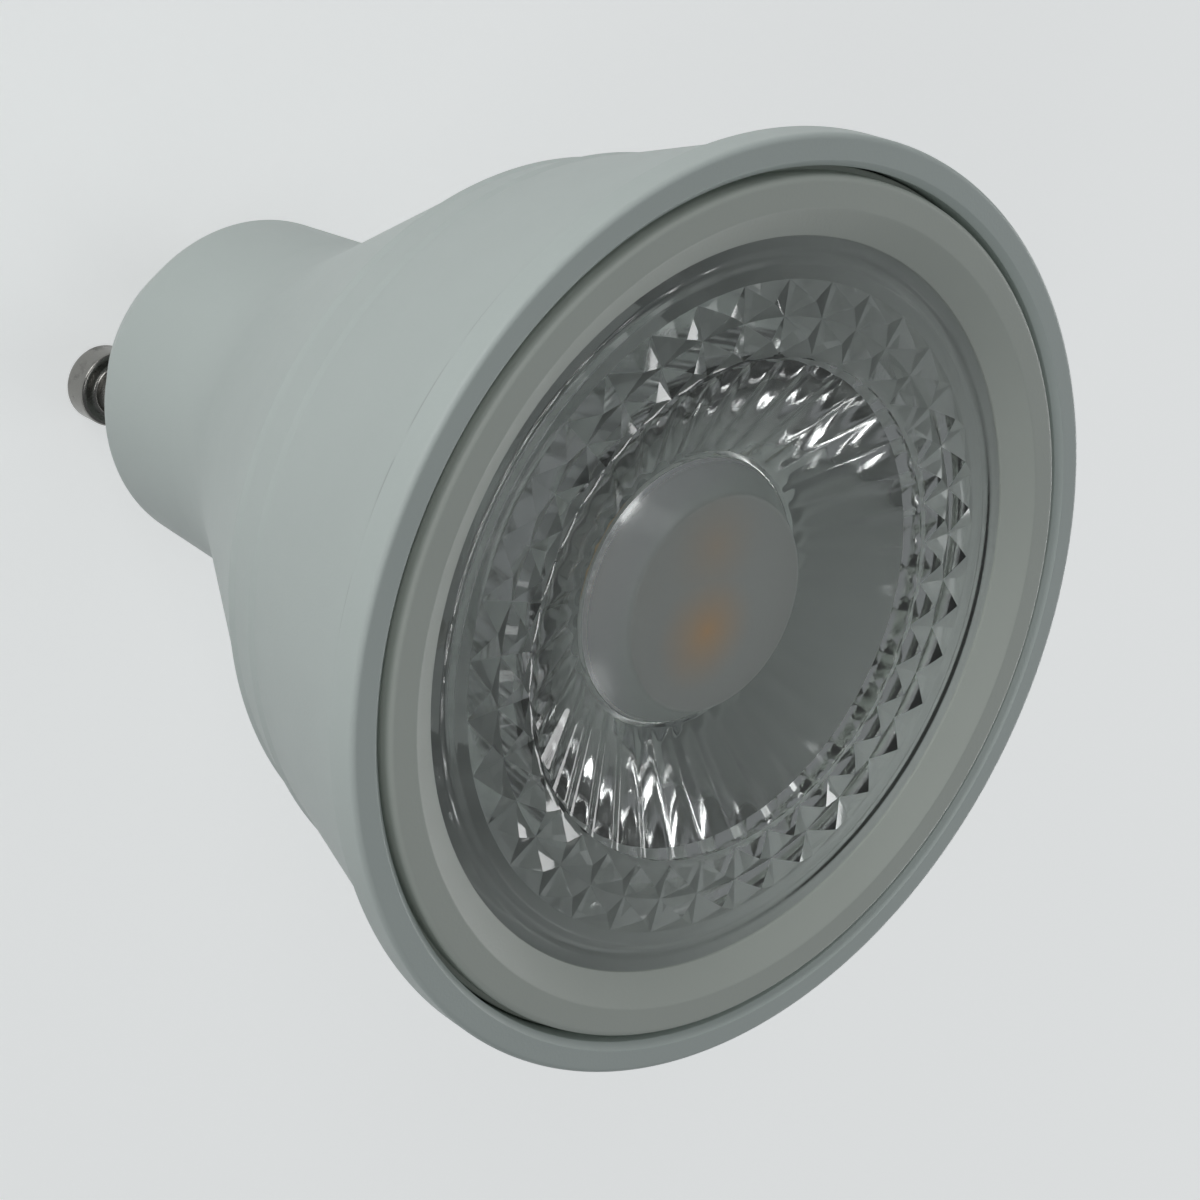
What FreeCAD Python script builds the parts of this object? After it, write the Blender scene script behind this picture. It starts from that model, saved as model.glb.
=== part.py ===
import FreeCAD, Part
import math
import os
from FreeCAD import Vector

# A reflector-shaped LED spotlight lamp with a two-pin twist-lock base.
# It stands on its contact pins with the light going up. The origin is on the lamp's axis,
# level with the flat ends of the pins. All sizes are in millimetres.

# Overall sizes
lamp_height = 57.0
rim_diameter = 50.0

# Contact pins
pin_spacing = 10.0
pin_length = 7.4
pin_head_diameter = 5.0
pin_head_height = 2.3
pin_head_round = 0.5
pin_waist_diameter = 3.2
pin_collar_diameter = 4.4
pin_collar_height = 0.5
pin_shank_diameter = 3.5
pin_rivet_diameter = 4.6
pin_rivet_height = 0.5
pin_barrel_diameter = 2.4
pin_barrel_height = 1.5
pin_bore_depth = 2.0
shank_clearance = 0.05

# Outside of the housing, measured down from the face
rim_band = 1.75
rim_edge_round = 0.3
rim_step = 0.5
rim_step_slope = 0.25
flare_taper = 0.285
first_step_depth = 13.6
second_step_depth = 16.7
step_land = 0.6
step_drop = 0.25
step_slope = 0.3
shoulder_taper = 0.52
neck_diameter = 21.9
neck_draft = 0.45
neck_fillet = 13.0
base_chamfer_width = 2.2
base_chamfer_height = 3.5

# Inside of the housing
rebate_wall = 1.65
rebate_bevel = 0.35
rebate_depth = 3.8
flare_wall = 1.7
neck_wall = 1.5
base_thickness = 2.0
guide_depth = 1.1
guide_thickness = 1.0
guide_top_gap = 3.5
guide_root = 0.4
board_foot_height = 5.1

# Heat sink cup
cup_flange_thickness = 1.0
cup_wall = 1.0
cup_floor = 1.5
cup_depth = 16.3
cup_corner_round = 1.5
cup_clearance = 0.1
boss_diameter = 4.8
boss_height = 2.0

# Lens ring in the mouth of the housing
ring_clearance = 0.1
ring_groove = 0.3
ring_foot_height = 1.4
ring_land = 1.6
ring_edge_round = 0.35
ring_foot_width = 2.05
ring_lip_overlap = 1.25
lens_recess = 1.2
lens_edge_gap = 0.2

# Lens, whose border between bowl and edge is shared out as parts of its width
lens_flange = 1.6
wave_start_share = 0.6267
wave_end_share = 0.76
lens_wave_depth = 0.15
pyramid_count = 36
pyramid_margin = 0.25
pyramid_end_share = 0.54
pyramid_rows = 2
pyramid_height = 0.6
pyramid_sink = 0.3
bowl_radius = 13.5
bowl_depth = 3.8
bowl_floor_width = 0.3
island_radius = 5.9
island_foot_radius = 7.3
island_drop = 1.7
island_dome = 0.25
flute_count = 36
flute_fill = 0.9
flute_depth = 0.22
collimator_margin = 0.1
collimator_foot_radius = 8.0
collimator_height = 12.0
collimator_bulge = 0.75
pocket_radius = 6.5
pocket_height = 4.6
pocket_draft = 0.3
pocket_dome = 0.8

# Light source
pad_radius = 12.0
pad_thickness = 0.3
led_board_radius = 13.0
led_board_thickness = 1.6
chip_plate_side = 9.5
chip_plate_thickness = 0.7
dam_radius = 3.6
dam_width = 0.6
dam_height = 0.45
phosphor_dome = 0.12

# Screws that hold the LED board
screw_circle_radius = 10.5
screw_diameter = 2.4
screw_head_diameter = 4.2
screw_head_height = 1.3
screw_length = 5.0
screw_clearance = 0.05
board_hole_clearance = 0.25
screw_slot_width = 0.6
screw_slot_depth = 0.7

# Insulating disc below the heat sink
insulator_inset = 2.8
insulator_thickness = 0.8
insulator_clearance = 0.3

# Driver board and its parts
board_thickness = 1.0
board_side_gap = 0.2
board_slot_gap = 0.1
board_top_gap = 1.7
board_head_length = 6.6
board_head_width = 24.0
part_gap = 0.05
lead_radius = 0.3
lead_reach = 0.9

# Electrolytic capacitors: the mains one lies in the neck, the output one stands on the wide end
mains_can_radius = 4.0
mains_can_foot = 1.6
mains_can_top_gap = 2.4
mains_lead_spacing = 3.5
output_can_edge_gap = 5.8
output_can_lift = 2.6
output_can_radius = 3.15
output_can_height = 7.0
can_bead = 0.5

# Parts in the neck: lifts are measured up from the board's foot, drops down from its wide end
film_edge_gap = 2.05
film_width = 6.6
film_depth = 3.9
film_length = 6.2
film_lift = 0.8
film_round = 0.4
resistor_edge_gap = 4.25
resistor_radius = 1.6
resistor_length = 5.0
resistor_lift = 1.3
resistor_round = 0.6
varistor_edge_gap = 4.85
varistor_drop = 2.3
varistor_radius = 3.3
varistor_thickness = 2.3
varistor_round = 0.8
bridge_edge_gap = 5.25
bridge_drop = 3.5
bridge_length = 4.7
bridge_width = 3.9
bridge_depth = 2.5

# Drum inductor on the wide end
inductor_edge_gap = 6.0
inductor_lift = 1.9
inductor_flange_radius = 4.0
inductor_post_radius = 1.9
inductor_height = 7.0
inductor_flange = 1.2
winding_inset = 0.4

# Flat parts on the back of the wide end
driver_chip_x = 1.5
driver_chip_lift = 4.0
driver_chip_width = 3.9
driver_chip_length = 4.9
driver_chip_depth = 1.5
diode_edge_gap = 3.4
diode_lift = 3.4
diode_width = 2.6
diode_length = 2.3
diode_depth = 2.1
package_lead_width = 0.5
package_lead_reach = 0.8
package_lead_thickness = 0.2
package_round = 0.15
chip_resistor_count = 4
chip_resistor_pitch = 2.2
chip_resistor_edge_gap = 1.6
chip_resistor_lift = 2.4
chip_resistor_width = 1.2
chip_resistor_length = 2.0
chip_resistor_depth = 0.5

# Wires
wire_radius = 0.45
wire_hole_clearance = 0.4
output_wire_radius_out = 10.5
output_wire_turn = 0.7
input_wire_run = 2.3
input_wire_shift_height = 2.6

# Heights worked out from the sizes above
face_z = lamp_height
base_z = pin_length
base_floor_z = base_z + base_thickness
ledge_z = face_z - rebate_depth
cup_top_z = ledge_z + cup_flange_thickness
lens_top_z = face_z - lens_recess
cup_floor_z = cup_top_z - cup_depth + cup_floor - cup_flange_thickness
cup_bottom_z = cup_floor_z - cup_floor
pad_top_z = cup_floor_z + pad_thickness
led_board_top_z = pad_top_z + led_board_thickness
chip_plate_top_z = led_board_top_z + chip_plate_thickness
disc_bottom_z = cup_bottom_z - insulator_thickness
board_bottom_z = base_floor_z + board_foot_height
board_top_z = disc_bottom_z - board_top_gap
board_head_z = board_top_z - board_head_length

# Radii worked out from the sizes above
rim_radius = rim_diameter / 2
neck_radius = neck_diameter / 2
flare_top_radius = rim_radius - rim_step
rebate_radius = rim_radius - rebate_wall
neck_bore_radius = neck_radius - neck_wall
chamfer_slope = base_chamfer_width / base_chamfer_height
base_foot_radius = neck_radius - neck_draft - base_chamfer_width
base_floor_radius = base_foot_radius + chamfer_slope * base_thickness - neck_wall
bore_foot_z = base_floor_z + (neck_bore_radius - base_floor_radius) / chamfer_slope
board_half_width = neck_bore_radius - board_side_gap
board_face_y = board_thickness / 2
board_head_half = board_head_width / 2
lens_radius = rebate_radius - ring_clearance - ring_foot_width - lens_edge_gap
ring_lip_radius = lens_radius - ring_lip_overlap
lens_border = lens_radius - bowl_radius
wave_inner_radius = bowl_radius + wave_start_share * lens_border
wave_outer_radius = bowl_radius + wave_end_share * lens_border
pyramid_inner_radius = bowl_radius + pyramid_margin
pyramid_outer_radius = bowl_radius + pyramid_end_share * lens_border
pyramid_row_width = (pyramid_outer_radius - pyramid_inner_radius) / pyramid_rows
collimator_radius = bowl_radius + collimator_margin


def corner_points(last, corner, following, radius):
    """The start, middle and end of the arc that rounds one corner of an outline."""
    to_last = (last - corner).normalize()
    to_next = (following - corner).normalize()
    half_angle = to_last.getAngle(to_next) / 2
    reach = radius / math.tan(half_angle)
    inward = (to_last + to_next).normalize()
    middle = corner + inward * (radius / math.sin(half_angle) - radius)
    return corner + to_last * reach, middle, corner + to_next * reach


def outline_face(corners):
    """A face in the XZ plane from corners given as (x, z) or, where rounded, (x, z, radius)."""
    places = [Vector(corner[0], 0, corner[1]) for corner in corners]
    rounds = [corner[2] if len(corner) > 2 else 0 for corner in corners]
    count = len(corners)
    edges = []
    starts = []
    ends = []
    for i in range(count):
        if rounds[i] == 0:
            starts.append(places[i])
            ends.append(places[i])
            continue
        following = places[(i + 1) % count]
        start, middle, end = corner_points(places[i - 1], places[i], following, rounds[i])
        edges.append(Part.Arc(start, middle, end).toShape())
        starts.append(start)
        ends.append(end)
    for i in range(count):
        edges.append(Part.LineSegment(ends[i], starts[(i + 1) % count]).toShape())
    return Part.Face(Part.Wire(Part.__sortEdges__(edges)))


def turned(corners):
    """A solid of revolution about the lamp's axis from the corners of its half section."""
    return outline_face(corners).revolve(Vector(0, 0, 0), Vector(0, 0, 1), 360)


def cylinder(radius, bottom, top, x=0.0, y=0.0):
    """An upright cylinder between two heights."""
    return Part.makeCylinder(radius, top - bottom, Vector(x, y, bottom), Vector(0, 0, 1))


def block(x_range, y_range, z_range):
    """A box between pairs of coordinates."""
    size = [high - low for low, high in (x_range, y_range, z_range)]
    return Part.makeBox(size[0], size[1], size[2], Vector(x_range[0], y_range[0], z_range[0]))


def rounded_block(x_range, y_range, z_range, radius):
    """A box with every edge rounded."""
    box = block(x_range, y_range, z_range)
    return box.makeFillet(radius, box.Edges)


def tube_along(path, radius):
    """A round wire of one radius along a path of lines and tangent arcs."""
    wire = Part.Wire(path)
    start = wire.Edges[0].valueAt(wire.Edges[0].FirstParameter)
    heading = wire.Edges[0].tangentAt(wire.Edges[0].FirstParameter)
    ring = Part.Wire(Part.makeCircle(radius, start, heading))
    return wire.makePipeShell([ring], True, False)


# Housing

def flare_radius(depth):
    """Outer radius of the upper cone at a depth behind the face."""
    return flare_top_radius - flare_taper * (depth - rim_band - rim_step_slope)


def shoulder_start():
    """Radius and depth where the lower cone begins, just past the second step."""
    first_land = flare_radius(first_step_depth)
    band_top_depth = first_step_depth + step_land + step_slope
    second_land = first_land - step_drop - flare_taper * (second_step_depth - band_top_depth)
    return second_land - step_drop, second_step_depth + step_land + step_slope


def neck_start_depth(radius_inward):
    """Depth where a line parallel to the lower cone meets the neck, both moved inward."""
    start_radius, start_depth = shoulder_start()
    slant = math.hypot(1, shoulder_taper)
    return start_depth + (start_radius - slant * radius_inward - neck_radius + radius_inward) / shoulder_taper


def housing_outside():
    """Corners of the housing's outer line, from the face down to the base."""
    land = flare_radius(first_step_depth)
    band_depth = first_step_depth + step_land + step_slope
    lower_land = land - step_drop - flare_taper * (second_step_depth - band_depth)
    shoulder_radius, shoulder_depth = shoulder_start()
    return [
        (rim_radius, face_z, rim_edge_round),
        (rim_radius, face_z - rim_band, 0.1),
        (flare_top_radius, face_z - rim_band - rim_step_slope, 0.1),
        (land, face_z - first_step_depth, 0.5),
        (land, face_z - first_step_depth - step_land, 0.15),
        (land - step_drop, face_z - band_depth, 0.2),
        (lower_land, face_z - second_step_depth, 0.5),
        (lower_land, face_z - second_step_depth - step_land, 0.15),
        (shoulder_radius, face_z - shoulder_depth),
        (neck_radius, face_z - neck_start_depth(0), neck_fillet),
        (neck_radius - neck_draft, base_z + base_chamfer_height, 1.0),
        (base_foot_radius, base_z, 0.4),
    ]


def housing_inside():
    """Corners of the housing's inner line, from the base floor up to the face."""
    shoulder_radius, shoulder_depth = shoulder_start()
    slant_wall = flare_wall * math.hypot(1, shoulder_taper)
    neck_depth = neck_start_depth(neck_wall)
    return [
        (base_floor_radius, base_floor_z, 0.5),
        (neck_bore_radius, bore_foot_z, 0.5),
        (neck_bore_radius, face_z - neck_depth, neck_fillet),
        (cavity_radius(shoulder_depth), face_z - shoulder_depth, 2.0),
        (cavity_radius(rebate_depth), ledge_z),
        (rebate_radius, ledge_z),
        (rebate_radius, face_z - rebate_bevel),
        (rebate_radius + rebate_bevel, face_z),
    ]


def cavity_radius(depth):
    """Inner radius of the housing's upper cone, or of its lower one past the shoulder, at a depth."""
    shoulder_radius, shoulder_depth = shoulder_start()
    top_radius = flare_radius(rebate_depth) - flare_wall
    foot_radius = shoulder_radius - flare_wall
    if depth > shoulder_depth:
        return foot_radius - shoulder_taper * (depth - shoulder_depth)
    share = (depth - rebate_depth) / (shoulder_depth - rebate_depth)
    return top_radius + (foot_radius - top_radius) * share


def board_guides():
    """Ribs in the neck that hold the driver board's two edges, and the feet it stands on."""
    ribs = []
    inner = neck_bore_radius - guide_depth
    outer = neck_bore_radius + guide_root
    slot = board_face_y + board_slot_gap
    for side in (-1, 1):
        span = sorted((side * inner, side * outer))
        ribs.append(block(span, (-slot, slot), (bore_foot_z, board_bottom_z)))
        for face in (-1, 1):
            depth = sorted((face * slot, face * (slot + guide_thickness)))
            ribs.append(block(span, depth, (bore_foot_z, board_head_z - guide_top_gap)))
    return ribs


def make_housing():
    """White moulded body: rim, flared cone, two step rings, neck and bevelled base."""
    section = housing_outside() + [(0, base_z), (0, base_floor_z)] + housing_inside()
    body = turned(section).fuse(board_guides())
    hole_radius = pin_shank_diameter / 2 + shank_clearance
    for side in (-1, 1):
        x = side * pin_spacing / 2
        body = body.cut(cylinder(hole_radius, base_z - 1, base_floor_z + 1, x))
    return body.removeSplitter()


# Contact pins

def make_contact_pin(side):
    """Turned pin with a flat round head, a waist, and a shank riveted through the base."""
    head = pin_head_diameter / 2
    waist = pin_waist_diameter / 2
    collar = pin_collar_diameter / 2
    shank = pin_shank_diameter / 2
    rivet = pin_rivet_diameter / 2
    barrel = pin_barrel_diameter / 2
    rivet_top = base_floor_z + pin_rivet_height
    top = rivet_top + pin_barrel_height
    pin = turned([
        (0, 0),
        (head, 0, pin_head_round),
        (head, pin_head_height, pin_head_round * 0.6),
        (waist, pin_head_height, 0.3),
        (waist, base_z - pin_collar_height),
        (collar, base_z - pin_collar_height, 0.15),
        (collar, base_z),
        (shank, base_z),
        (shank, base_floor_z),
        (rivet, base_floor_z),
        (rivet, rivet_top, 0.2),
        (barrel, rivet_top),
        (barrel, top),
        (wire_radius + shank_clearance, top),
        (wire_radius + shank_clearance, top - pin_bore_depth),
        (0, top - pin_bore_depth),
    ])
    pin.translate(Vector(side * pin_spacing / 2, 0, 0))
    return pin


# Heat sink, ring and light source

def screw_places():
    """Centres of the two screws that hold the LED board."""
    return [(0, side * screw_circle_radius) for side in (-1, 1)]


def wire_places():
    """Centres of the two output wires, where they pass up to the LED board."""
    return [(side * output_wire_radius_out, 0) for side in (-1, 1)]


def with_holes(solid, places, radius, bottom, top):
    """The solid with an upright hole at each place."""
    for x, y in places:
        solid = solid.cut(cylinder(radius, bottom - 1, top + 1, x, y))
    return solid


def make_heat_sink():
    """Pressed aluminium cup whose flange lies on the housing's ledge."""
    outer_top = cavity_radius(rebate_depth) - cup_clearance
    outer_foot = cavity_radius(face_z - cup_bottom_z) - cup_clearance
    inner_top = outer_top - cup_wall
    inner_foot = outer_foot - cup_wall
    cup = turned([
        (0, cup_bottom_z),
        (outer_foot, cup_bottom_z, cup_corner_round),
        (outer_top, ledge_z),
        (rebate_radius - ring_clearance, ledge_z),
        (rebate_radius - ring_clearance, cup_top_z),
        (inner_top, cup_top_z, 0.5),
        (inner_foot, cup_floor_z, cup_corner_round),
        (0, cup_floor_z),
    ])
    bosses = []
    boss_top = cup_floor_z - cup_floor / 2
    for x, y in screw_places():
        bosses.append(cylinder(boss_diameter / 2, cup_bottom_z - boss_height, boss_top, x, y))
    cup = cup.fuse(bosses)
    bore = screw_diameter / 2 + screw_clearance
    cup = with_holes(cup, screw_places(), bore, cup_bottom_z - boss_height, cup_floor_z)
    hole = wire_radius + wire_hole_clearance
    return with_holes(cup, wire_places(), hole, cup_bottom_z, cup_floor_z).removeSplitter()


def make_lens_ring():
    """White ring that holds the lens down, with a sloping inner lip."""
    outer = rebate_radius - ring_clearance
    crown = outer - ring_groove
    inner = lens_radius + lens_edge_gap
    return turned([
        (crown, face_z, ring_edge_round),
        (crown - ring_land, face_z, 0.2),
        (ring_lip_radius, lens_top_z, 0.1),
        (inner, lens_top_z),
        (inner, cup_top_z),
        (outer, cup_top_z),
        (outer, cup_top_z + ring_foot_height),
        (crown, cup_top_z + ring_foot_height),
    ])


def make_thermal_pad():
    """Soft grey pad that carries heat from the LED board to the cup."""
    pad = cylinder(pad_radius, cup_floor_z, pad_top_z)
    hole = screw_diameter / 2 + board_hole_clearance
    pad = with_holes(pad, screw_places(), hole, cup_floor_z, pad_top_z)
    return with_holes(pad, wire_places(), wire_radius + wire_hole_clearance, cup_floor_z, pad_top_z)


def make_led_board():
    """Round metal-core board under the light source."""
    board = cylinder(led_board_radius, pad_top_z, led_board_top_z)
    hole = screw_diameter / 2 + board_hole_clearance
    board = with_holes(board, screw_places(), hole, pad_top_z, led_board_top_z)
    return with_holes(board, wire_places(), wire_radius + wire_hole_clearance, pad_top_z, led_board_top_z)


def make_chip_plate():
    """Square ceramic plate of the chip-on-board light source."""
    half = chip_plate_side / 2
    plate = block((-half, half), (-half, half), (led_board_top_z, chip_plate_top_z))
    upright = [edge for edge in plate.Edges if edge.BoundBox.ZLength > chip_plate_thickness / 2]
    return plate.makeFillet(0.5, upright)


def make_phosphor_dam():
    """White silicone ring round the phosphor."""
    inner = dam_radius - dam_width
    return turned([
        (inner, chip_plate_top_z),
        (dam_radius, chip_plate_top_z),
        (dam_radius, chip_plate_top_z + dam_height, 0.2),
        (inner, chip_plate_top_z + dam_height, 0.2),
    ])


def make_phosphor():
    """Yellow phosphor poured inside the dam, with a slightly domed top."""
    radius = dam_radius - dam_width
    edge_height = dam_height / 2
    base = Part.Face(Part.Wire([
        Part.LineSegment(Vector(0, 0, chip_plate_top_z), Vector(radius, 0, chip_plate_top_z)).toShape(),
        Part.LineSegment(Vector(radius, 0, chip_plate_top_z),
                         Vector(radius, 0, chip_plate_top_z + edge_height)).toShape(),
        dome_edge(radius, chip_plate_top_z + edge_height, phosphor_dome),
        Part.LineSegment(Vector(0, 0, chip_plate_top_z + edge_height + phosphor_dome),
                         Vector(0, 0, chip_plate_top_z)).toShape(),
    ]))
    return base.revolve(Vector(0, 0, 0), Vector(0, 0, 1), 360)


def dome_edge(radius, edge_z, rise):
    """Arc in the XZ plane from a rim up, or down, to the axis, level at the axis."""
    sphere = (radius ** 2 + rise ** 2) / (2 * abs(rise))
    half_angle = math.asin(radius / sphere) / 2
    sign = math.copysign(1, rise)
    centre_z = edge_z + rise - sign * sphere
    middle = Vector(sphere * math.sin(half_angle), 0, centre_z + sign * sphere * math.cos(half_angle))
    return Part.Arc(Vector(radius, 0, edge_z), middle, Vector(0, 0, edge_z + rise)).toShape()


def make_board_screws():
    """The two slotted pan-head screws that hold the LED board to the cup."""
    screws = []
    for x, y in screw_places():
        head_top = led_board_top_z + screw_head_height
        head = turned([
            (0, led_board_top_z - screw_length),
            (screw_diameter / 2, led_board_top_z - screw_length, 0.3),
            (screw_diameter / 2, led_board_top_z),
            (screw_head_diameter / 2, led_board_top_z),
            (screw_head_diameter / 2, head_top, 0.6),
            (0, head_top),
        ])
        reach = screw_head_diameter
        half = screw_slot_width / 2
        depths = (head_top - screw_slot_depth, head_top + 1)
        arm = screw_head_diameter * 0.34
        head = head.cut(block((-arm, arm), (-half, half), depths))
        head = head.cut(block((-half, half), (-arm, arm), depths))
        head.translate(Vector(x, y, 0))
        screws.append(head)
    return Part.makeCompound(screws)


def make_insulating_disc():
    """Thin plastic disc that keeps the driver clear of the aluminium cup."""
    radius = cavity_radius(face_z - cup_bottom_z) - insulator_inset
    disc = cylinder(radius, disc_bottom_z, cup_bottom_z)
    boss_hole = boss_diameter / 2 + insulator_clearance
    disc = with_holes(disc, screw_places(), boss_hole, disc_bottom_z, cup_bottom_z)
    return with_holes(disc, wire_places(), wire_radius + wire_hole_clearance, disc_bottom_z, cup_bottom_z)


# Lens

def ring_point(radius, angle, height):
    """A point at a radius, an angle in degrees and a height."""
    turn = math.radians(angle)
    return Vector(radius * math.cos(turn), radius * math.sin(turn), height)


def polygon_face(points):
    """A flat face from its corner points."""
    return Part.Face(Part.makePolygon(points + [points[0]]))


def pyramid_ring():
    """Rings of four-sided pyramids round the bowl, made as one closed solid."""
    pitch = 360 / pyramid_count
    low = lens_top_z - pyramid_sink
    faces = []
    for row in range(pyramid_rows):
        inner = pyramid_inner_radius + row * pyramid_row_width
        outer = inner + pyramid_row_width
        for i in range(pyramid_count):
            start = i * pitch
            corners = [
                ring_point(inner, start, lens_top_z),
                ring_point(outer, start, lens_top_z),
                ring_point(outer, start + pitch, lens_top_z),
                ring_point(inner, start + pitch, lens_top_z),
            ]
            apex = ring_point((inner + outer) / 2, start + pitch / 2, lens_top_z + pyramid_height)
            for k in range(4):
                faces.append(polygon_face([corners[k], corners[(k + 1) % 4], apex]))
    for radius in (pyramid_inner_radius, pyramid_outer_radius):
        for i in range(pyramid_count):
            faces.append(polygon_face([
                ring_point(radius, i * pitch, lens_top_z),
                ring_point(radius, (i + 1) * pitch, lens_top_z),
                ring_point(radius, (i + 1) * pitch, low),
                ring_point(radius, i * pitch, low),
            ]))
    outlines = []
    for radius in (pyramid_outer_radius, pyramid_inner_radius):
        points = [ring_point(radius, i * pitch, low) for i in range(pyramid_count)]
        outlines.append(Part.makePolygon(points + [points[0]]))
    floor = Part.Face(outlines)
    shell = Part.Shell(faces + [floor])
    return Part.Solid(shell)


def lens_blank():
    """Turned form of the lens: flange, bowl, central island, collimator and LED pocket."""
    flange_z = lens_top_z - lens_flange
    floor_z = lens_top_z - bowl_depth
    foot_z = flange_z - collimator_height
    island_z = lens_top_z - island_drop
    pocket_z = foot_z + pocket_height
    chord = Vector(collimator_radius - collimator_foot_radius, 0, collimator_height)
    outward = Vector(chord.z, 0, -chord.x).normalize() * collimator_bulge
    middle = Vector(collimator_foot_radius, 0, foot_z) + chord * 0.5 + outward
    points = [
        Vector(island_radius, 0, island_z),
        Vector(island_foot_radius, 0, floor_z),
        Vector(island_foot_radius + bowl_floor_width, 0, floor_z),
        Vector(bowl_radius, 0, lens_top_z),
        Vector(wave_inner_radius, 0, lens_top_z),
        Vector((wave_inner_radius + wave_outer_radius) / 2, 0, lens_top_z - lens_wave_depth),
        Vector(wave_outer_radius, 0, lens_top_z),
        Vector(lens_radius, 0, lens_top_z),
        Vector(lens_radius, 0, flange_z),
        Vector(collimator_radius, 0, flange_z),
    ]
    edges = [Part.LineSegment(points[i], points[i + 1]).toShape() for i in range(len(points) - 1)]
    foot = Vector(collimator_foot_radius, 0, foot_z)
    mouth = Vector(pocket_radius, 0, foot_z)
    roof = Vector(pocket_radius - pocket_draft, 0, pocket_z)
    edges.append(Part.Arc(points[-1], middle, foot).toShape())
    edges.append(Part.LineSegment(foot, mouth).toShape())
    edges.append(Part.LineSegment(mouth, roof).toShape())
    edges.append(dome_edge(roof.x, roof.z, -pocket_dome))
    axis_low = Vector(0, 0, pocket_z - pocket_dome)
    axis_high = Vector(0, 0, island_z + island_dome)
    edges.append(Part.LineSegment(axis_low, axis_high).toShape())
    edges.append(dome_edge(island_radius, island_z, island_dome))
    face = Part.Face(Part.Wire(Part.__sortEdges__(edges)))
    return face.revolve(Vector(0, 0, 0), Vector(0, 0, 1), 360)


def flute_cutter():
    """Tapered round cutter that lies along the bowl's wall and leaves one shallow flute."""
    low_radius = island_foot_radius + bowl_floor_width
    slope = bowl_depth / (bowl_radius - low_radius)
    half_pitch = math.radians(180 / flute_count)

    def section_radius(radius):
        """Radius of the cutter where the wall is this far from the axis."""
        depth = flute_depth * radius / bowl_radius
        half_width = radius * math.sin(half_pitch) * flute_fill
        return (half_width ** 2 + depth ** 2) / (2 * depth)

    start_radius = low_radius * 0.85
    end_radius = bowl_radius * 1.08
    run = (end_radius - start_radius) * math.hypot(1, slope)
    along = Vector(1, 0, slope).normalize()
    across = Vector(-slope, 0, 1).normalize()
    low_section = section_radius(start_radius)
    high_section = section_radius(end_radius)
    start_lift = low_section - flute_depth * start_radius / bowl_radius
    end_lift = high_section - flute_depth * end_radius / bowl_radius
    wall_start = Vector(start_radius, 0, lens_top_z - bowl_depth + slope * (start_radius - low_radius))
    start = wall_start + across * start_lift
    end = wall_start + along * run + across * end_lift
    length = (end - start).Length
    return Part.makeCone(low_section, high_section, length, start, end - start)


def make_lens():
    """Clear moulded lens with a ring of pyramids, a fluted bowl and a frosted island."""
    cutter = flute_cutter()
    keep = cylinder(island_foot_radius + bowl_floor_width, 0, lamp_height)
    cutter = cutter.cut(keep)
    cutters = []
    for i in range(flute_count):
        turned_cutter = cutter.copy()
        turned_cutter.rotate(Vector(0, 0, 0), Vector(0, 0, 1), (i + 0.5) * 360 / flute_count)
        cutters.append(turned_cutter)
    lens = lens_blank().cut(cutters)
    return lens.fuse(pyramid_ring()).removeSplitter()


# Driver board and what it carries

def make_driver_board():
    """Upright circuit board that slides into the neck's guides and widens above them."""
    faces = (-board_face_y, board_face_y)
    neck = block((-board_half_width, board_half_width), faces, (board_bottom_z, board_head_z))
    head = block((-board_head_half, board_head_half), faces, (board_head_z, board_top_z))
    return neck.fuse(head).removeSplitter()


def bent_lead(x, side, body_end_z, direction, board_gap_y):
    """A lead that leaves a part along Z and bends over to the board."""
    turn_z = body_end_z + direction * lead_reach
    corner = Vector(x, side * board_gap_y, turn_z)
    start = Vector(x, side * board_gap_y, body_end_z)
    end = Vector(x, side * board_face_y, turn_z)
    rod = Part.makeCylinder(lead_radius, lead_reach, start, Vector(0, 0, direction))
    arm = Part.makeCylinder(lead_radius, (corner - end).Length, end, Vector(0, side, 0))
    return rod.fuse([arm, Part.makeSphere(lead_radius, corner)])


def lying_can(x, side, radius, bottom, top, bead):
    """A wound can that lies along the board, with both leads bent over to it."""
    centre_y = board_face_y + part_gap + radius
    can = Part.makeCylinder(radius, top - bottom, Vector(x, side * centre_y, bottom), Vector(0, 0, 1))
    can = can.makeFillet(bead, can.Edges[0:1] + can.Edges[2:3])
    return can, centre_y


def make_mains_capacitor():
    """Electrolytic capacitor that lies along the board in the neck."""
    bottom = board_bottom_z + mains_can_foot
    top = board_head_z - mains_can_top_gap
    can, centre_y = lying_can(0, 1, mains_can_radius, bottom, top, can_bead)
    half = mains_lead_spacing / 2
    leads = [bent_lead(offset, 1, bottom, -1, centre_y) for offset in (-half, half)]
    return can.fuse(leads).removeSplitter()


def make_fusible_resistor():
    """Fusible resistor with a rounded body and one lead at each end."""
    x = board_half_width - resistor_edge_gap
    bottom = board_bottom_z + resistor_lift
    top = bottom + resistor_length
    can, centre_y = lying_can(x, -1, resistor_radius, bottom, top, resistor_round)
    leads = [
        bent_lead(x, -1, bottom, -1, centre_y),
        bent_lead(x, -1, top, 1, centre_y),
    ]
    return can.fuse(leads).removeSplitter()


def standing_can(x, z, side, radius, height, bead):
    """A round part that stands on one face of the board."""
    foot = Vector(x, side * (board_face_y + part_gap), z)
    can = Part.makeCylinder(radius, height, foot, Vector(0, side, 0))
    return can.makeFillet(bead, can.Edges[0:1] + can.Edges[2:3])


def make_output_capacitor():
    """Smaller electrolytic capacitor that stands on the board's wide end."""
    x = board_head_half - output_can_edge_gap
    z = board_head_z + output_can_lift
    return standing_can(x, z, 1, output_can_radius, output_can_height, can_bead)


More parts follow.
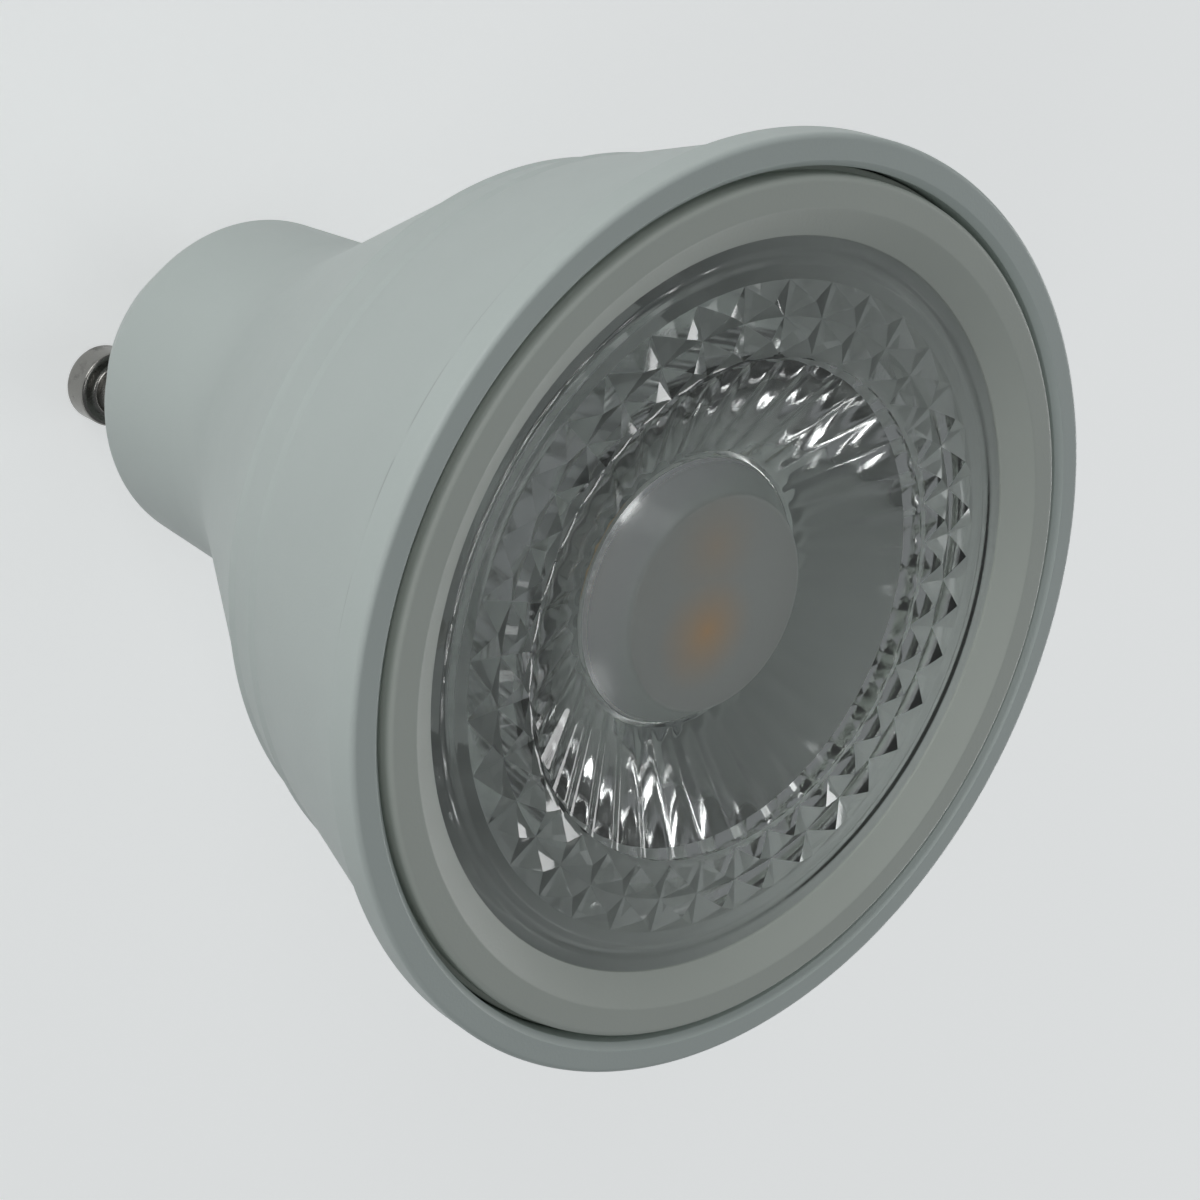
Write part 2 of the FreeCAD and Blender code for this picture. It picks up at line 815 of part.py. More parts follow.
def make_varistor():
    """Disc varistor that lies flat on the back of the board."""
    x = board_half_width - varistor_edge_gap
    z = board_head_z - varistor_drop
    return standing_can(x, z, -1, varistor_radius, varistor_thickness, varistor_round)


def inductor_place(solid):
    """Stand a part that was turned about Z on the front of the board's wide end."""
    solid.rotate(Vector(0, 0, 0), Vector(1, 0, 0), -90)
    x = inductor_edge_gap - board_head_half
    solid.translate(Vector(x, board_face_y + part_gap, board_head_z + inductor_lift))
    return solid


def make_inductor_core():
    """Ferrite drum core: two flanges on a post."""
    return inductor_place(turned([
        (0, 0),
        (inductor_flange_radius, 0, 0.2),
        (inductor_flange_radius, inductor_flange, 0.2),
        (inductor_post_radius, inductor_flange),
        (inductor_post_radius, inductor_height - inductor_flange),
        (inductor_flange_radius, inductor_height - inductor_flange, 0.2),
        (inductor_flange_radius, inductor_height, 0.2),
        (0, inductor_height),
    ]))


def make_inductor_winding():
    """Copper winding that fills the drum core, rounded by its turns."""
    inner = inductor_post_radius + part_gap
    outer = inductor_flange_radius - winding_inset
    low = inductor_flange + part_gap
    high = inductor_height - inductor_flange - part_gap
    return inductor_place(turned([
        (inner, low),
        (outer, low, 0.4),
        (outer, high, 0.4),
        (inner, high),
    ]))


def make_film_capacitor():
    """Box-shaped film capacitor on the back of the board."""
    left = film_edge_gap - board_half_width
    near = board_face_y + part_gap
    low = board_bottom_z + film_lift
    depths = (-near - film_depth, -near)
    return rounded_block((left, left + film_width), depths, (low, low + film_length), film_round)


def chip_package(centre_x, centre_z, width, height, depth, leads_per_side):
    """Moulded surface-mount body on the back of the board, with flat leads at two sides."""
    back = -board_face_y
    body = rounded_block(
        (centre_x - width / 2, centre_x + width / 2),
        (back - depth, back - package_lead_thickness / 2),
        (centre_z - height / 2, centre_z + height / 2),
        package_round,
    )
    leads = []
    pitch = height / leads_per_side
    reach = width / 2 + package_lead_reach
    for i in range(leads_per_side):
        z = centre_z - height / 2 + pitch * (i + 0.5)
        leads.append(block(
            (centre_x - reach, centre_x + reach),
            (back - package_lead_thickness, back),
            (z - package_lead_width / 2, z + package_lead_width / 2),
        ))
    return body.fuse(leads).removeSplitter()


def make_bridge_rectifier():
    """Four-lead bridge rectifier."""
    x = bridge_edge_gap - board_half_width
    return chip_package(x, board_head_z - bridge_drop, bridge_width, bridge_length, bridge_depth, 2)


def make_driver_chip():
    """Eight-lead driver controller."""
    z = board_head_z + driver_chip_lift
    return chip_package(driver_chip_x, z, driver_chip_width, driver_chip_length, driver_chip_depth, 4)


def make_output_diode():
    """Two-lead output diode."""
    x = board_head_half - diode_edge_gap
    return chip_package(x, board_head_z + diode_lift, diode_width, diode_length, diode_depth, 1)


def make_chip_resistors():
    """Row of small flat resistors."""
    back = -board_face_y
    chips = []
    half = chip_resistor_width / 2
    low = board_head_z + chip_resistor_lift
    for i in range(chip_resistor_count):
        x = chip_resistor_edge_gap - board_head_half + i * chip_resistor_pitch
        depths = (back - chip_resistor_depth, back)
        chips.append(block((x - half, x + half), depths, (low, low + chip_resistor_length)))
    return Part.makeCompound(chips)


# Wires

def make_input_wire(side):
    """Wire from a pin's bore to the front of the driver board."""
    x = side * pin_spacing / 2
    bore_floor = base_floor_z + pin_rivet_height + pin_barrel_height - pin_bore_depth
    bend_z = board_bottom_z - input_wire_shift_height - 0.2
    shift = board_face_y + part_gap + wire_radius
    angle = 2 * math.atan(shift / input_wire_shift_height)
    bend = input_wire_shift_height / 2 / math.sin(angle)
    start = Vector(x, 0, bore_floor)
    lower = Vector(x, 0, bend_z)
    upper = Vector(x, shift, bend_z + input_wire_shift_height)
    middle = (lower + upper) * 0.5
    lower_middle = Vector(x, bend * (1 - math.cos(angle / 2)), bend_z + bend * math.sin(angle / 2))
    upper_middle = lower + upper - lower_middle
    path = [
        Part.LineSegment(start, lower).toShape(),
        Part.Arc(lower, lower_middle, middle).toShape(),
        Part.Arc(middle, upper_middle, upper).toShape(),
        Part.LineSegment(upper, upper + Vector(0, 0, input_wire_run)).toShape(),
    ]
    return tube_along(path, wire_radius)


def make_output_wire(side):
    """Wire from the driver board's top edge, up through the cup, and over to the LED board."""
    outer_x = side * output_wire_radius_out
    inner_x = side * (output_wire_radius_out - 2 * output_wire_turn)
    turn_z = led_board_top_z + output_wire_turn
    start = Vector(outer_x, 0, board_top_z)
    outer = Vector(outer_x, 0, turn_z)
    crown = Vector((outer_x + inner_x) / 2, 0, turn_z + output_wire_turn)
    inner = Vector(inner_x, 0, turn_z)
    path = [
        Part.LineSegment(start, outer).toShape(),
        Part.Arc(outer, crown, inner).toShape(),
        Part.LineSegment(inner, Vector(inner_x, 0, led_board_top_z)).toShape(),
    ]
    return tube_along(path, wire_radius)


# Every piece by its node name
pieces = {
    "housing": make_housing(),
    "contact_pin_left": make_contact_pin(-1),
    "contact_pin_right": make_contact_pin(1),
    "heat_sink": make_heat_sink(),
    "lens_ring": make_lens_ring(),
    "lens": make_lens(),
    "thermal_pad": make_thermal_pad(),
    "led_board": make_led_board(),
    "chip_plate": make_chip_plate(),
    "phosphor_dam": make_phosphor_dam(),
    "phosphor": make_phosphor(),
    "board_screws": make_board_screws(),
    "insulating_disc": make_insulating_disc(),
    "driver_board": make_driver_board(),
    "mains_capacitor": make_mains_capacitor(),
    "output_capacitor": make_output_capacitor(),
    "film_capacitor": make_film_capacitor(),
    "fusible_resistor": make_fusible_resistor(),
    "varistor": make_varistor(),
    "inductor_core": make_inductor_core(),
    "inductor_winding": make_inductor_winding(),
    "bridge_rectifier": make_bridge_rectifier(),
    "driver_chip": make_driver_chip(),
    "output_diode": make_output_diode(),
    "chip_resistors": make_chip_resistors(),
    "input_wire_left": make_input_wire(-1),
    "input_wire_right": make_input_wire(1),
    "output_wire_left": make_output_wire(-1),
    "output_wire_right": make_output_wire(1),
}

os.makedirs("parts", exist_ok=True)
for name, shape in pieces.items():
    shape.exportStep(os.path.join("parts", name + ".step"))
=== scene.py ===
import logging
import math
from dataclasses import dataclass, field
from enum import Enum
from typing import Iterable, Sequence

import bmesh
import bpy
import numpy as np
from mathutils import Matrix, Vector


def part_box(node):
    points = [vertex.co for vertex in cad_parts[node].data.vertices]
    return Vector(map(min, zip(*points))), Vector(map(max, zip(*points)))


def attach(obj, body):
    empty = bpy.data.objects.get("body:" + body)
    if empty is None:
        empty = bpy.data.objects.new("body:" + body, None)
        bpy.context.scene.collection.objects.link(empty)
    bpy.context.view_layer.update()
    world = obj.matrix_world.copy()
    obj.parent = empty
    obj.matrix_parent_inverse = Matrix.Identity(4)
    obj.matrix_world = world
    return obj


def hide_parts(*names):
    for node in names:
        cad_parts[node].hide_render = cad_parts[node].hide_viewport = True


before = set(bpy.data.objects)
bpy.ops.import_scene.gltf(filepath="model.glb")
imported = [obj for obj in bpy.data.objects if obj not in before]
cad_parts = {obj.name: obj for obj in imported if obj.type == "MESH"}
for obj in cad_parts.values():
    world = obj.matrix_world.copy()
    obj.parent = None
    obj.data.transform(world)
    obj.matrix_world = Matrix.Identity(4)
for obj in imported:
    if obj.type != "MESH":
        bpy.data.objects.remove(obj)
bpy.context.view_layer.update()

# An LED reflector spotlight lamp, dressed for a picture. Lengths of its pieces and finishes are
# in millimetres, as on a drawing, and MM turns them into the scene's metres.
MM = 0.001
LOG = logging.getLogger("spotlight_lamp")

Array = np.ndarray
Colour = tuple[float, float, float]
Place = tuple[float, float, float]


class Slot(Enum):
    """Names of the record's finish slots that the new pieces stand in for."""

    HOUSING = "housing_white"
    RING = "ring_white"
    LENS = "lens_clear"
    PIN = "pin_nickel"


# Shader graphs

class Value:
    """A number socket that can be used in ordinary arithmetic."""

    def __init__(self, graph: "Graph", socket: bpy.types.NodeSocket) -> None:
        """Wrap one output socket of a graph."""
        self.graph = graph
        self.socket = socket

    def _with(self, operation: str, first: "Value | float", second: "Value | float") -> "Value":
        """One Math node on two values."""
        return self.graph.math(operation, first, second)

    def __add__(self, other: "Value | float") -> "Value":
        """Sum."""
        return self._with("ADD", self, other)

    __radd__ = __add__

    def __sub__(self, other: "Value | float") -> "Value":
        """Difference."""
        return self._with("SUBTRACT", self, other)

    def __rsub__(self, other: float) -> "Value":
        """A number less this value."""
        return self._with("SUBTRACT", other, self)

    def __mul__(self, other: "Value | float") -> "Value":
        """Product."""
        return self._with("MULTIPLY", self, other)

    __rmul__ = __mul__

    def __truediv__(self, other: "Value | float") -> "Value":
        """Quotient."""
        return self._with("DIVIDE", self, other)


class Graph:
    """The node tree of one material."""

    def __init__(self, name: str) -> None:
        """Start an empty material.

        Args:
            name: the material's name.
        """
        self.material = bpy.data.materials.new(name)
        self.material.use_nodes = True
        self.tree = self.material.node_tree
        self.tree.nodes.clear()

    def node(self, kind: str, settings: dict | None = None,
             inputs: dict | None = None) -> bpy.types.Node:
        """Add any node.

        Args:
            kind: the node's type.
            settings: its own properties, set before its sockets are used.
            inputs: values or links by socket name or number.

        Returns:
            The new node.
        """
        made = self.tree.nodes.new(kind)
        for name, setting in (settings or {}).items():
            setattr(made, name, setting)
        for name, given in (inputs or {}).items():
            socket = made.inputs[name]
            source = given.socket if isinstance(given, Value) else given
            if isinstance(source, bpy.types.NodeSocket):
                self.tree.links.new(source, socket)
            else:
                socket.default_value = source
        return made

    def math(self, operation: str, *given: "Value | float", clamp: bool = False) -> Value:
        """A Math node on one, two or three values.

        Args:
            operation: the node's operation.
            given: its inputs in order.
            clamp: whether the result is kept from 0 to 1.

        Returns:
            The result.
        """
        made = self.node("ShaderNodeMath", {"operation": operation, "use_clamp": clamp},
                         dict(enumerate(given)))
        return Value(self, made.outputs[0])

    def place(self) -> bpy.types.NodeSocket:
        """Object coordinates, in metres."""
        return self.node("ShaderNodeTexCoord").outputs["Object"]

    def split(self, vector: bpy.types.NodeSocket) -> tuple[Value, Value, Value]:
        """The three parts of a vector."""
        parts = self.node("ShaderNodeSeparateXYZ", inputs={0: vector})
        return tuple(Value(self, parts.outputs[i]) for i in range(3))

    def axis_distance(self) -> Value:
        """Distance from the lamp's axis, in millimetres."""
        x, y, _ = self.split(self.place())
        return self.math("SQRT", x * x + y * y) / MM

    def height(self) -> Value:
        """Height above the pin ends, in millimetres."""
        return self.split(self.place())[2] / MM

    def noise(self, size: float, detail: float = 3.0, roughness: float = 0.5,
              stretch: Sequence[float] = (1.0, 1.0, 1.0)) -> Value:
        """Smooth noise from 0 to 1.

        Args:
            size: width of its blotches in millimetres.
            detail: how many finer layers it has.
            roughness: how strong those layers are.
            stretch: factors on the three coordinates.

        Returns:
            The noise value.
        """
        scaled = self.node("ShaderNodeMapping", inputs={
            "Vector": self.place(), "Scale": tuple(stretch),
        })
        made = self.node("ShaderNodeTexNoise", inputs={
            "Vector": scaled.outputs[0], "Scale": 1.0 / (size * MM),
            "Detail": detail, "Roughness": roughness,
        })
        return Value(self, made.outputs["Fac"])

    def smooth_step(self, value: Value, low: float, high: float) -> Value:
        """0 below low and 1 above high, with a smooth rise between.

        Args:
            value: what is compared.
            low: where the rise begins.
            high: where it ends.

        Returns:
            The step's value.
        """
        made = self.node("ShaderNodeMapRange", {"interpolation_type": "SMOOTHSTEP"},
                         {"Value": value, "From Min": low, "From Max": high})
        return Value(self, made.outputs["Result"])

    def blend(self, factor: Value, first: "Colour | bpy.types.NodeSocket",
              second: "Colour | bpy.types.NodeSocket") -> bpy.types.NodeSocket:
        """A colour between two colours.

        Args:
            factor: 0 gives the first colour and 1 the second.
            first: a colour or its socket.
            second: a colour or its socket.

        Returns:
            The mixed colour's socket.
        """
        ends = [(*c, 1.0) if isinstance(c, tuple) else c for c in (first, second)]
        made = self.node("ShaderNodeMix", {"data_type": "RGBA"},
                         {"Factor": factor, 6: ends[0], 7: ends[1]})
        return made.outputs[2]

    def drift(self, factor: Value, colour: Colour, spread: float) -> bpy.types.NodeSocket:
        """A colour that drifts from darker to lighter by the same share."""
        return self.blend(factor, tinted(colour, 1 - spread), tinted(colour, 1 + spread))

    def bump(self, height: Value, depth: float) -> bpy.types.NodeSocket:
        """A Normal from a height.

        Args:
            height: from 0 to 1.
            depth: millimetres that a height of 1 stands for.

        Returns:
            The Normal's socket.
        """
        made = self.node("ShaderNodeBump", inputs={
            "Height": height, "Distance": depth * MM, "Strength": 1.0,
        })
        return made.outputs["Normal"]

    def principled(self, **inputs: object) -> bpy.types.Node:
        """The surface shader, with spaces in socket names written as underscores."""
        named = {name.replace("_", " "): given for name, given in inputs.items()}
        return self.node("ShaderNodeBsdfPrincipled", inputs=named)

    def finish(self, shader: bpy.types.Node) -> bpy.types.Material:
        """Join a shader to the output and return the material."""
        self.node("ShaderNodeOutputMaterial", inputs={"Surface": shader.outputs[0]})
        return self.material


def tinted(colour: Colour, factor: float) -> Colour:
    """A colour made lighter or darker."""
    return tuple(min(1.0, part * factor) for part in colour)


# Finishes

@dataclass(frozen=True)
class MouldedPlastic:
    """Satin moulded plastic with a fine spark-eroded grain, faint flow clouds and a painted shade
    line.
    """

    name: str
    colour: Colour
    roughness: float = 0.46
    grain_size: float = 0.16
    grain_depth: float = 0.012
    flow_size: float = 9.0
    cloud: float = 0.045
    rub_size: float = 1.3
    rub: float = 0.14
    # height, width, breakup size and tone of a painted shade line in a corner
    shade_line_height: float = -1.0
    shade_line_width: float = 0.3
    shade_breakup_size: float = 2.6
    shade_line_tone: float = 0.72

    def material(self) -> bpy.types.Material:
        """Build the finish; the painted shade is a broken dark line at one height.

        Returns:
            The material.
        """
        graph = Graph(self.name)
        flow = graph.noise(self.flow_size, 2.0, 0.45)
        grain = graph.noise(self.grain_size, 2.0, 0.6)
        rubbed = graph.noise(self.rub_size, 3.0, 0.6)
        colour = graph.drift(flow, self.colour, self.cloud)
        # painted shade: a broken dark line at one height, standing for the shade in a corner
        away = graph.math("ABSOLUTE", graph.height() - self.shade_line_height)
        line = 1.0 - graph.smooth_step(away, self.shade_line_width * 0.3, self.shade_line_width)
        shade_breakup = graph.noise(self.shade_breakup_size, 2.0, 0.7, stretch=(1.0, 1.0, 0.2))
        broken = graph.smooth_step(shade_breakup, 0.36, 0.62)
        colour = graph.blend(line * broken, colour, tinted(self.colour, self.shade_line_tone))
        return graph.finish(graph.principled(
            Base_Color=colour,
            Roughness=self.roughness - self.rub / 2 + rubbed * self.rub,
            Specular_IOR_Level=0.45,
            Normal=graph.bump(grain, self.grain_depth),
        ))


@dataclass(frozen=True)
class ClearMoulding:
    """Clear moulded plastic, polished all over but for a frosted island in the middle.

    The island's top is milky, with a warm glow painted into its colour where the light source
    shows through, and its flank is only dulled.
    """

    name: str
    top_radius: float
    flank_radius: float
    frosted_low: float
    flank_low: float
    colour: Colour = (0.93, 0.955, 0.945)
    polish: float = 0.03
    frost: float = 0.42
    dull: float = 0.34
    refraction: float = 1.49
    milk: float = 0.62
    veil: float = 0.055
    milk_colour: Colour = (0.53, 0.545, 0.52)
    # colour, middle, trail end, trail share and size of the painted glow, in millimetres
    painted_glow_colour: Colour = (0.95, 0.48, 0.10)
    painted_glow_place: tuple[float, float] = (-1.2, -0.8)
    painted_glow_end: tuple[float, float] = (1.0, 3.3)
    painted_glow_radius: float = 3.9
    painted_glow_trail_share: float = 0.33
    haze_size: float = 2.4
    speckle_size: float = 0.12
    edge_blur: float = 0.2
    flank_blur: float = 0.1

    def material(self) -> bpy.types.Material:
        """Build the finish; light that only passes through to the inside goes straight on.

        Returns:
            The material.
        """
        graph = Graph(self.name)
        distance, height = graph.axis_distance(), graph.height()
        blur, soft = self.edge_blur, self.flank_blur
        above = graph.smooth_step(height, self.frosted_low - blur, self.frosted_low + blur)
        beyond = graph.smooth_step(distance, self.top_radius - blur, self.top_radius + blur)
        frosted = above * (1.0 - beyond)
        raised = graph.smooth_step(height, self.flank_low, self.flank_low + 2 * blur)
        beyond = graph.smooth_step(distance, self.flank_radius - soft, self.flank_radius + soft)
        flank = raised * (1.0 - beyond)
        haze = graph.noise(self.haze_size, 3.0, 0.6)
        speckle = graph.noise(self.speckle_size, 2.0, 0.6)
        clear = graph.principled(
            Base_Color=graph.blend(haze, tinted(self.colour, 0.97), self.colour),
            Roughness=self.polish + haze * 0.03 + frosted * self.frost + flank * self.dull,
            IOR=self.refraction,
            Transmission_Weight=1.0,
            Normal=graph.bump(speckle * (frosted + 0.04), 0.02),
        )
        # the milky part's colour holds the painted glow of the light source shining through
        milky = graph.principled(
            Base_Color=self.glow(graph, haze),
            Roughness=0.5 + haze * 0.1,
            Specular_IOR_Level=0.5,
            Normal=graph.bump(speckle, 0.01),
        )
        milkiness = frosted * (self.milk - self.veil) + self.veil
        clouded = graph.node("ShaderNodeMixShader", inputs={
            0: milkiness, 1: clear.outputs[0], 2: milky.outputs[0],
        })
        passing = graph.node("ShaderNodeBsdfTransparent", inputs={
            "Color": (*tinted(self.colour, 0.97), 1.0),
        })
        path = graph.node("ShaderNodeLightPath")
        both = graph.node("ShaderNodeMixShader", inputs={
            0: path.outputs["Is Shadow Ray"], 1: clouded.outputs[0], 2: passing.outputs[0],
        })
        return graph.finish(both)

    def glow(self, graph: Graph, haze: Value) -> bpy.types.NodeSocket:
        """Colour of the milky part: grey, with a painted warm glow that trails off to one side.

        The glow is the power 1.5 of 1 - distance / radius about its middle, and a share of
        that about the end of its trail.

        Args:
            graph: the material's graph.
            haze: the noise that clouds the glow.

        Returns:
            The colour's socket.
        """
        x, y, _ = graph.split(graph.place())
        # painted glow: light of the source inside, seen through the frosting, painted into the
        # colour
        painted_glow = None
        spots = ((self.painted_glow_place, 1.0), (self.painted_glow_end, self.painted_glow_trail_share))
        for (place_x, place_y), share in spots:
            across, along = x / MM - place_x, y / MM - place_y
            away = graph.math("SQRT", across * across + along * along) + haze * 0.8
            near = graph.math("SUBTRACT", 1.0, away / self.painted_glow_radius, clamp=True)
            spot = graph.math("POWER", near, 1.5) * share
            painted_glow = spot if painted_glow is None else graph.math("MAXIMUM", painted_glow, spot)
        return graph.blend(painted_glow, self.milk_colour, self.painted_glow_colour)


@dataclass(frozen=True)
class PlatedMetal:
    """Turned metal with a thin bright plating, dulled in patches and ringed by the tool."""

    name: str
    colour: Colour
    roughness: float = 0.24
    ring_pitch: float = 0.14
    dull: float = 0.2
    ring_depth: float = 0.002
    stain_size: float = 1.1
    stain_tone: float = 0.5

    def material(self) -> bpy.types.Material:
        """Build the finish.

        Returns:
            The material.
        """
        graph = Graph(self.name)
        stain = graph.noise(self.stain_size, 4.0, 0.6)
        rings = graph.math("SINE", graph.height() * (2 * math.pi / self.ring_pitch))
        patch = graph.smooth_step(stain, 0.45, 0.75)
        return graph.finish(graph.principled(
            Base_Color=graph.blend(patch, self.colour, tinted(self.colour, self.stain_tone)),
            Metallic=1.0,
            Roughness=self.roughness + patch * self.dull,
            Normal=graph.bump(rings * 0.5 + 0.5, self.ring_depth),
        ))


@dataclass(frozen=True)
class PressedMetal:
    """Sheet metal drawn in a press, with fine streaks along its pull, and darkened in its depth by
    painted shade.
    """

    name: str
    colour: Colour
    roughness: float = 0.38
    metallic: float = 1.0
    full_shade_height: float = 0.0
    bright: float = 1.0
    depth_shade_tone: float = 1.0
    streak_size: float = 0.5
    streak_depth: float = 0.006
    streak: float = 0.18
    cloud_size: float = 5.0

    def material(self) -> bpy.types.Material:
        """Build the finish.

        Returns:
            The material.
        """
        graph = Graph(self.name)
        streaks = graph.noise(self.streak_size, 3.0, 0.6, stretch=(1.0, 1.0, 0.12))
        cloud = graph.noise(self.cloud_size, 2.0, 0.5)
        # painted shade: darker towards the bottom, where little light reaches deep inside
        raised = graph.smooth_step(graph.height() + cloud, self.full_shade_height, self.bright)
        return graph.finish(graph.principled(
            Base_Color=graph.blend(raised, tinted(self.colour, self.depth_shade_tone), self.colour),
            Metallic=self.metallic,
            Roughness=self.roughness - 0.08 + streaks * self.streak,
            Normal=graph.bump(streaks, self.streak_depth),
        ))


@dataclass(frozen=True)
class Coating:
    """A dipped, poured, fired or printed coat with its own grain and unevenness."""

    name: str
    colour: Colour
    roughness: float
    cloud_size: float = 1.5
    cloud: float = 0.08
    grain_size: float = 0.1
    grain_depth: float = 0.01
    metallic: float = 0.0
    coat: float = 0.0

    def material(self) -> bpy.types.Material:
        """Build the finish.

        Returns:
            The material.
        """
        graph = Graph(self.name)
        cloud = graph.noise(self.cloud_size, 3.0, 0.55)
        grain = graph.noise(self.grain_size, 2.0, 0.6)
        return graph.finish(graph.principled(
            Base_Color=graph.drift(cloud, self.colour, self.cloud),
            Metallic=self.metallic,
            Roughness=self.roughness - 0.05 + grain * 0.1,
            Coat_Weight=self.coat,
            Normal=graph.bump(grain, self.grain_depth),
        ))


@dataclass(frozen=True)
class WoundWire:
    """Enamelled wire laid turn by turn, as ridges across the coil's own axis."""

    name: str
    colour: Colour
    wire: float = 0.22
    wire_depth: float = 0.06
    gap_shade_tone: float = 0.45

    def material(self) -> bpy.types.Material:
        """Build the finish: a sine along Y, one wave for each turn of wire, and painted shade in
        its gaps.

        Returns:
            The material.
        """
        graph = Graph(self.name)
        _, y, _ = graph.split(graph.place())
        turns = graph.math("SINE", y / MM * (2 * math.pi / self.wire)) * 0.5 + 0.5
        return graph.finish(graph.principled(
            # painted shade darkens the grooves between turns
            Base_Color=graph.blend(turns, tinted(self.colour, self.gap_shade_tone), self.colour),
            Metallic=0.85,
            Roughness=0.22 + turns * 0.08,
            Coat_Weight=0.6,
            Normal=graph.bump(turns, self.wire_depth),
        ))


# Surfaces

@dataclass(frozen=True)
class Corner:
    """One corner of a half section: distance from the axis, height and rounding."""

    r: float
    z: float
    rounding: float = 0.0


def rounded_run(corners: Sequence[Corner], closed: bool, step: float = 0.6, hold: float = 0.08,
                arc_step: float = 9.0) -> Array:
    """Points along an outline whose corners are rounded.

    Each rounded corner becomes the arc that touches both of its runs: it begins at
    rounding / tan(half the corner's angle) from the corner. Straight runs are divided
    evenly, with one more point close to each end so that the shading stays flat there.

    Args:
        corners: the outline's corners in order.
        closed: whether the last corner joins the first.
        step: longest distance between points on a straight run.
        hold: distance of the extra points from the ends of a run.
        arc_step: degrees between points on an arc.

    Returns:
        An array of (r, z) rows.
    """
    places = np.array([(corner.r, corner.z) for corner in corners])
    count = len(corners)
    arcs = []
    for i, corner in enumerate(corners):
        ends = not closed and i in (0, count - 1)
        if corner.rounding == 0 or ends:
            arcs.append(places[i:i + 1])
            continue
        back = places[i - 1] - places[i]
        ahead = places[(i + 1) % count] - places[i]
        back = back / np.linalg.norm(back)
        ahead = ahead / np.linalg.norm(ahead)
        half = math.acos(np.clip(back @ ahead, -1, 1)) / 2
        reach = corner.rounding / math.tan(half)
        inward = (back + ahead) / np.linalg.norm(back + ahead)
        centre = places[i] + inward * corner.rounding / math.sin(half)
        start = places[i] + back * reach - centre
        sweep = math.pi - 2 * half
        turn = math.copysign(sweep, ahead[0] * back[1] - ahead[1] * back[0])
        angles = np.linspace(0, turn, max(4, math.ceil(math.degrees(sweep) / arc_step) + 1))
        arcs.append(centre + np.column_stack([
            start[0] * np.cos(angles) - start[1] * np.sin(angles),
            start[0] * np.sin(angles) + start[1] * np.cos(angles),
        ]))
    rows = []
    for i in range(count if closed else count - 1):
        rows.append(arcs[i])
        start, end = arcs[i][-1], arcs[(i + 1) % count][0]
        length = np.linalg.norm(end - start)
        if length < 3 * hold:
            continue
        inner = np.linspace(hold, length - hold, max(2, math.ceil(length / step))) / length
        rows.append(start + inner[:, None] * (end - start))
    if not closed:
        rows.append(arcs[-1])
    return np.concatenate(rows)


def quad_grid(rows: int, columns: int, wrap_rows: bool) -> Array:
    """Corner numbers of the quads of a grid that closes round its columns.

    Args:
        rows: rows of points.
        columns: points in a row.
        wrap_rows: whether the last row joins the first.

    Returns:
        Four point numbers for each quad, by row and column.
    """
    count = rows if wrap_rows else rows - 1
    row, column = np.meshgrid(np.arange(count), np.arange(columns), indexing="ij")
    below = (row + 1) % rows
    beside = (column + 1) % columns
    return np.stack([row * columns + column, row * columns + beside,
                     below * columns + beside, below * columns + column], axis=-1)


def turned_points(radius: Array, height: Array, columns: int) -> Array:
    """Points of a turned surface: x = r cos t, y = r sin t, with t going once round.

    Args:
        radius: distance from the axis by row, or by row and column.
        height: height by row, or by row and column.
        columns: points round the axis.

    Returns:
        Points by row and column.
    """
    turn = np.linspace(0, 2 * np.pi, columns, endpoint=False)
    spread = np.zeros((len(radius), columns))
    radius = radius.reshape(len(radius), -1) + spread
    height = height.reshape(len(height), -1) + spread
    return np.stack([radius * np.cos(turn), radius * np.sin(turn), height], axis=-1)


def make_piece(name: str, points: Array, faces: Iterable, crease: float) -> bpy.types.Object:
    """A mesh piece whose faces point outwards, smooth but for its creases.

    Args:
        name: the piece's name.
        points: points in millimetres, in the lamp's frame.
        faces: corner numbers of each face.
        crease: angle in degrees past which an edge is sharp.

    Returns:
        The new object, linked to the scene, at the origin.
    """
    mesh = bpy.data.meshes.new(name)
    mesh.from_pydata((points.reshape(-1, 3) * MM).tolist(), [], [list(face) for face in faces])
    work = bmesh.new()
    work.from_mesh(mesh)
    bmesh.ops.remove_doubles(work, verts=work.verts, dist=1e-7)
    bmesh.ops.recalc_face_normals(work, faces=work.faces)
    work.to_mesh(mesh)
    work.free()
    mesh.shade_smooth()
    mesh.set_sharp_from_angle(angle=math.radians(crease))
    piece = bpy.data.objects.new(name, mesh)
    bpy.context.scene.collection.objects.link(piece)
    return piece


def turned_piece(name: str, outline: Array, closed: bool, columns: int, crease: float = 35.0,
                 offset: tuple[float, float] = (0.0, 0.0)) -> bpy.types.Object:
    """A piece turned about an upright axis from its half section.

    Args:
        name: the piece's name.
        outline: (r, z) rows; an open outline starts and ends on the axis.
        closed: whether the outline is a ring clear of the axis.
        columns: points round the axis.
        crease: angle past which an edge is sharp.
        offset: where its axis stands, in millimetres.

    Returns:
        The new object.
    """
    points = turned_points(outline[:, 0], outline[:, 1], columns)
    faces = quad_grid(len(outline), columns, closed).reshape(-1, 4)
    points = points + np.array([offset[0], offset[1], 0.0])
    return make_piece(name, points, faces.tolist(), crease)


def settle(piece: bpy.types.Object, slot: Slot, material: bpy.types.Material, *nodes: str) -> None:
    """Put a new piece on the frame, in the place of the solids that it stands for.

    Args:
        piece: the new piece.
        slot: its slot in the record; not used.
        material: its finish.
        nodes: names of the solids that it replaces.
    """
    piece.data.materials.append(material)
    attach(piece, "root")
    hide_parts(*nodes)
    LOG.info("%s: %d faces, for %s", piece.name, len(piece.data.polygons), ", ".join(nodes))


# The lamp's pieces

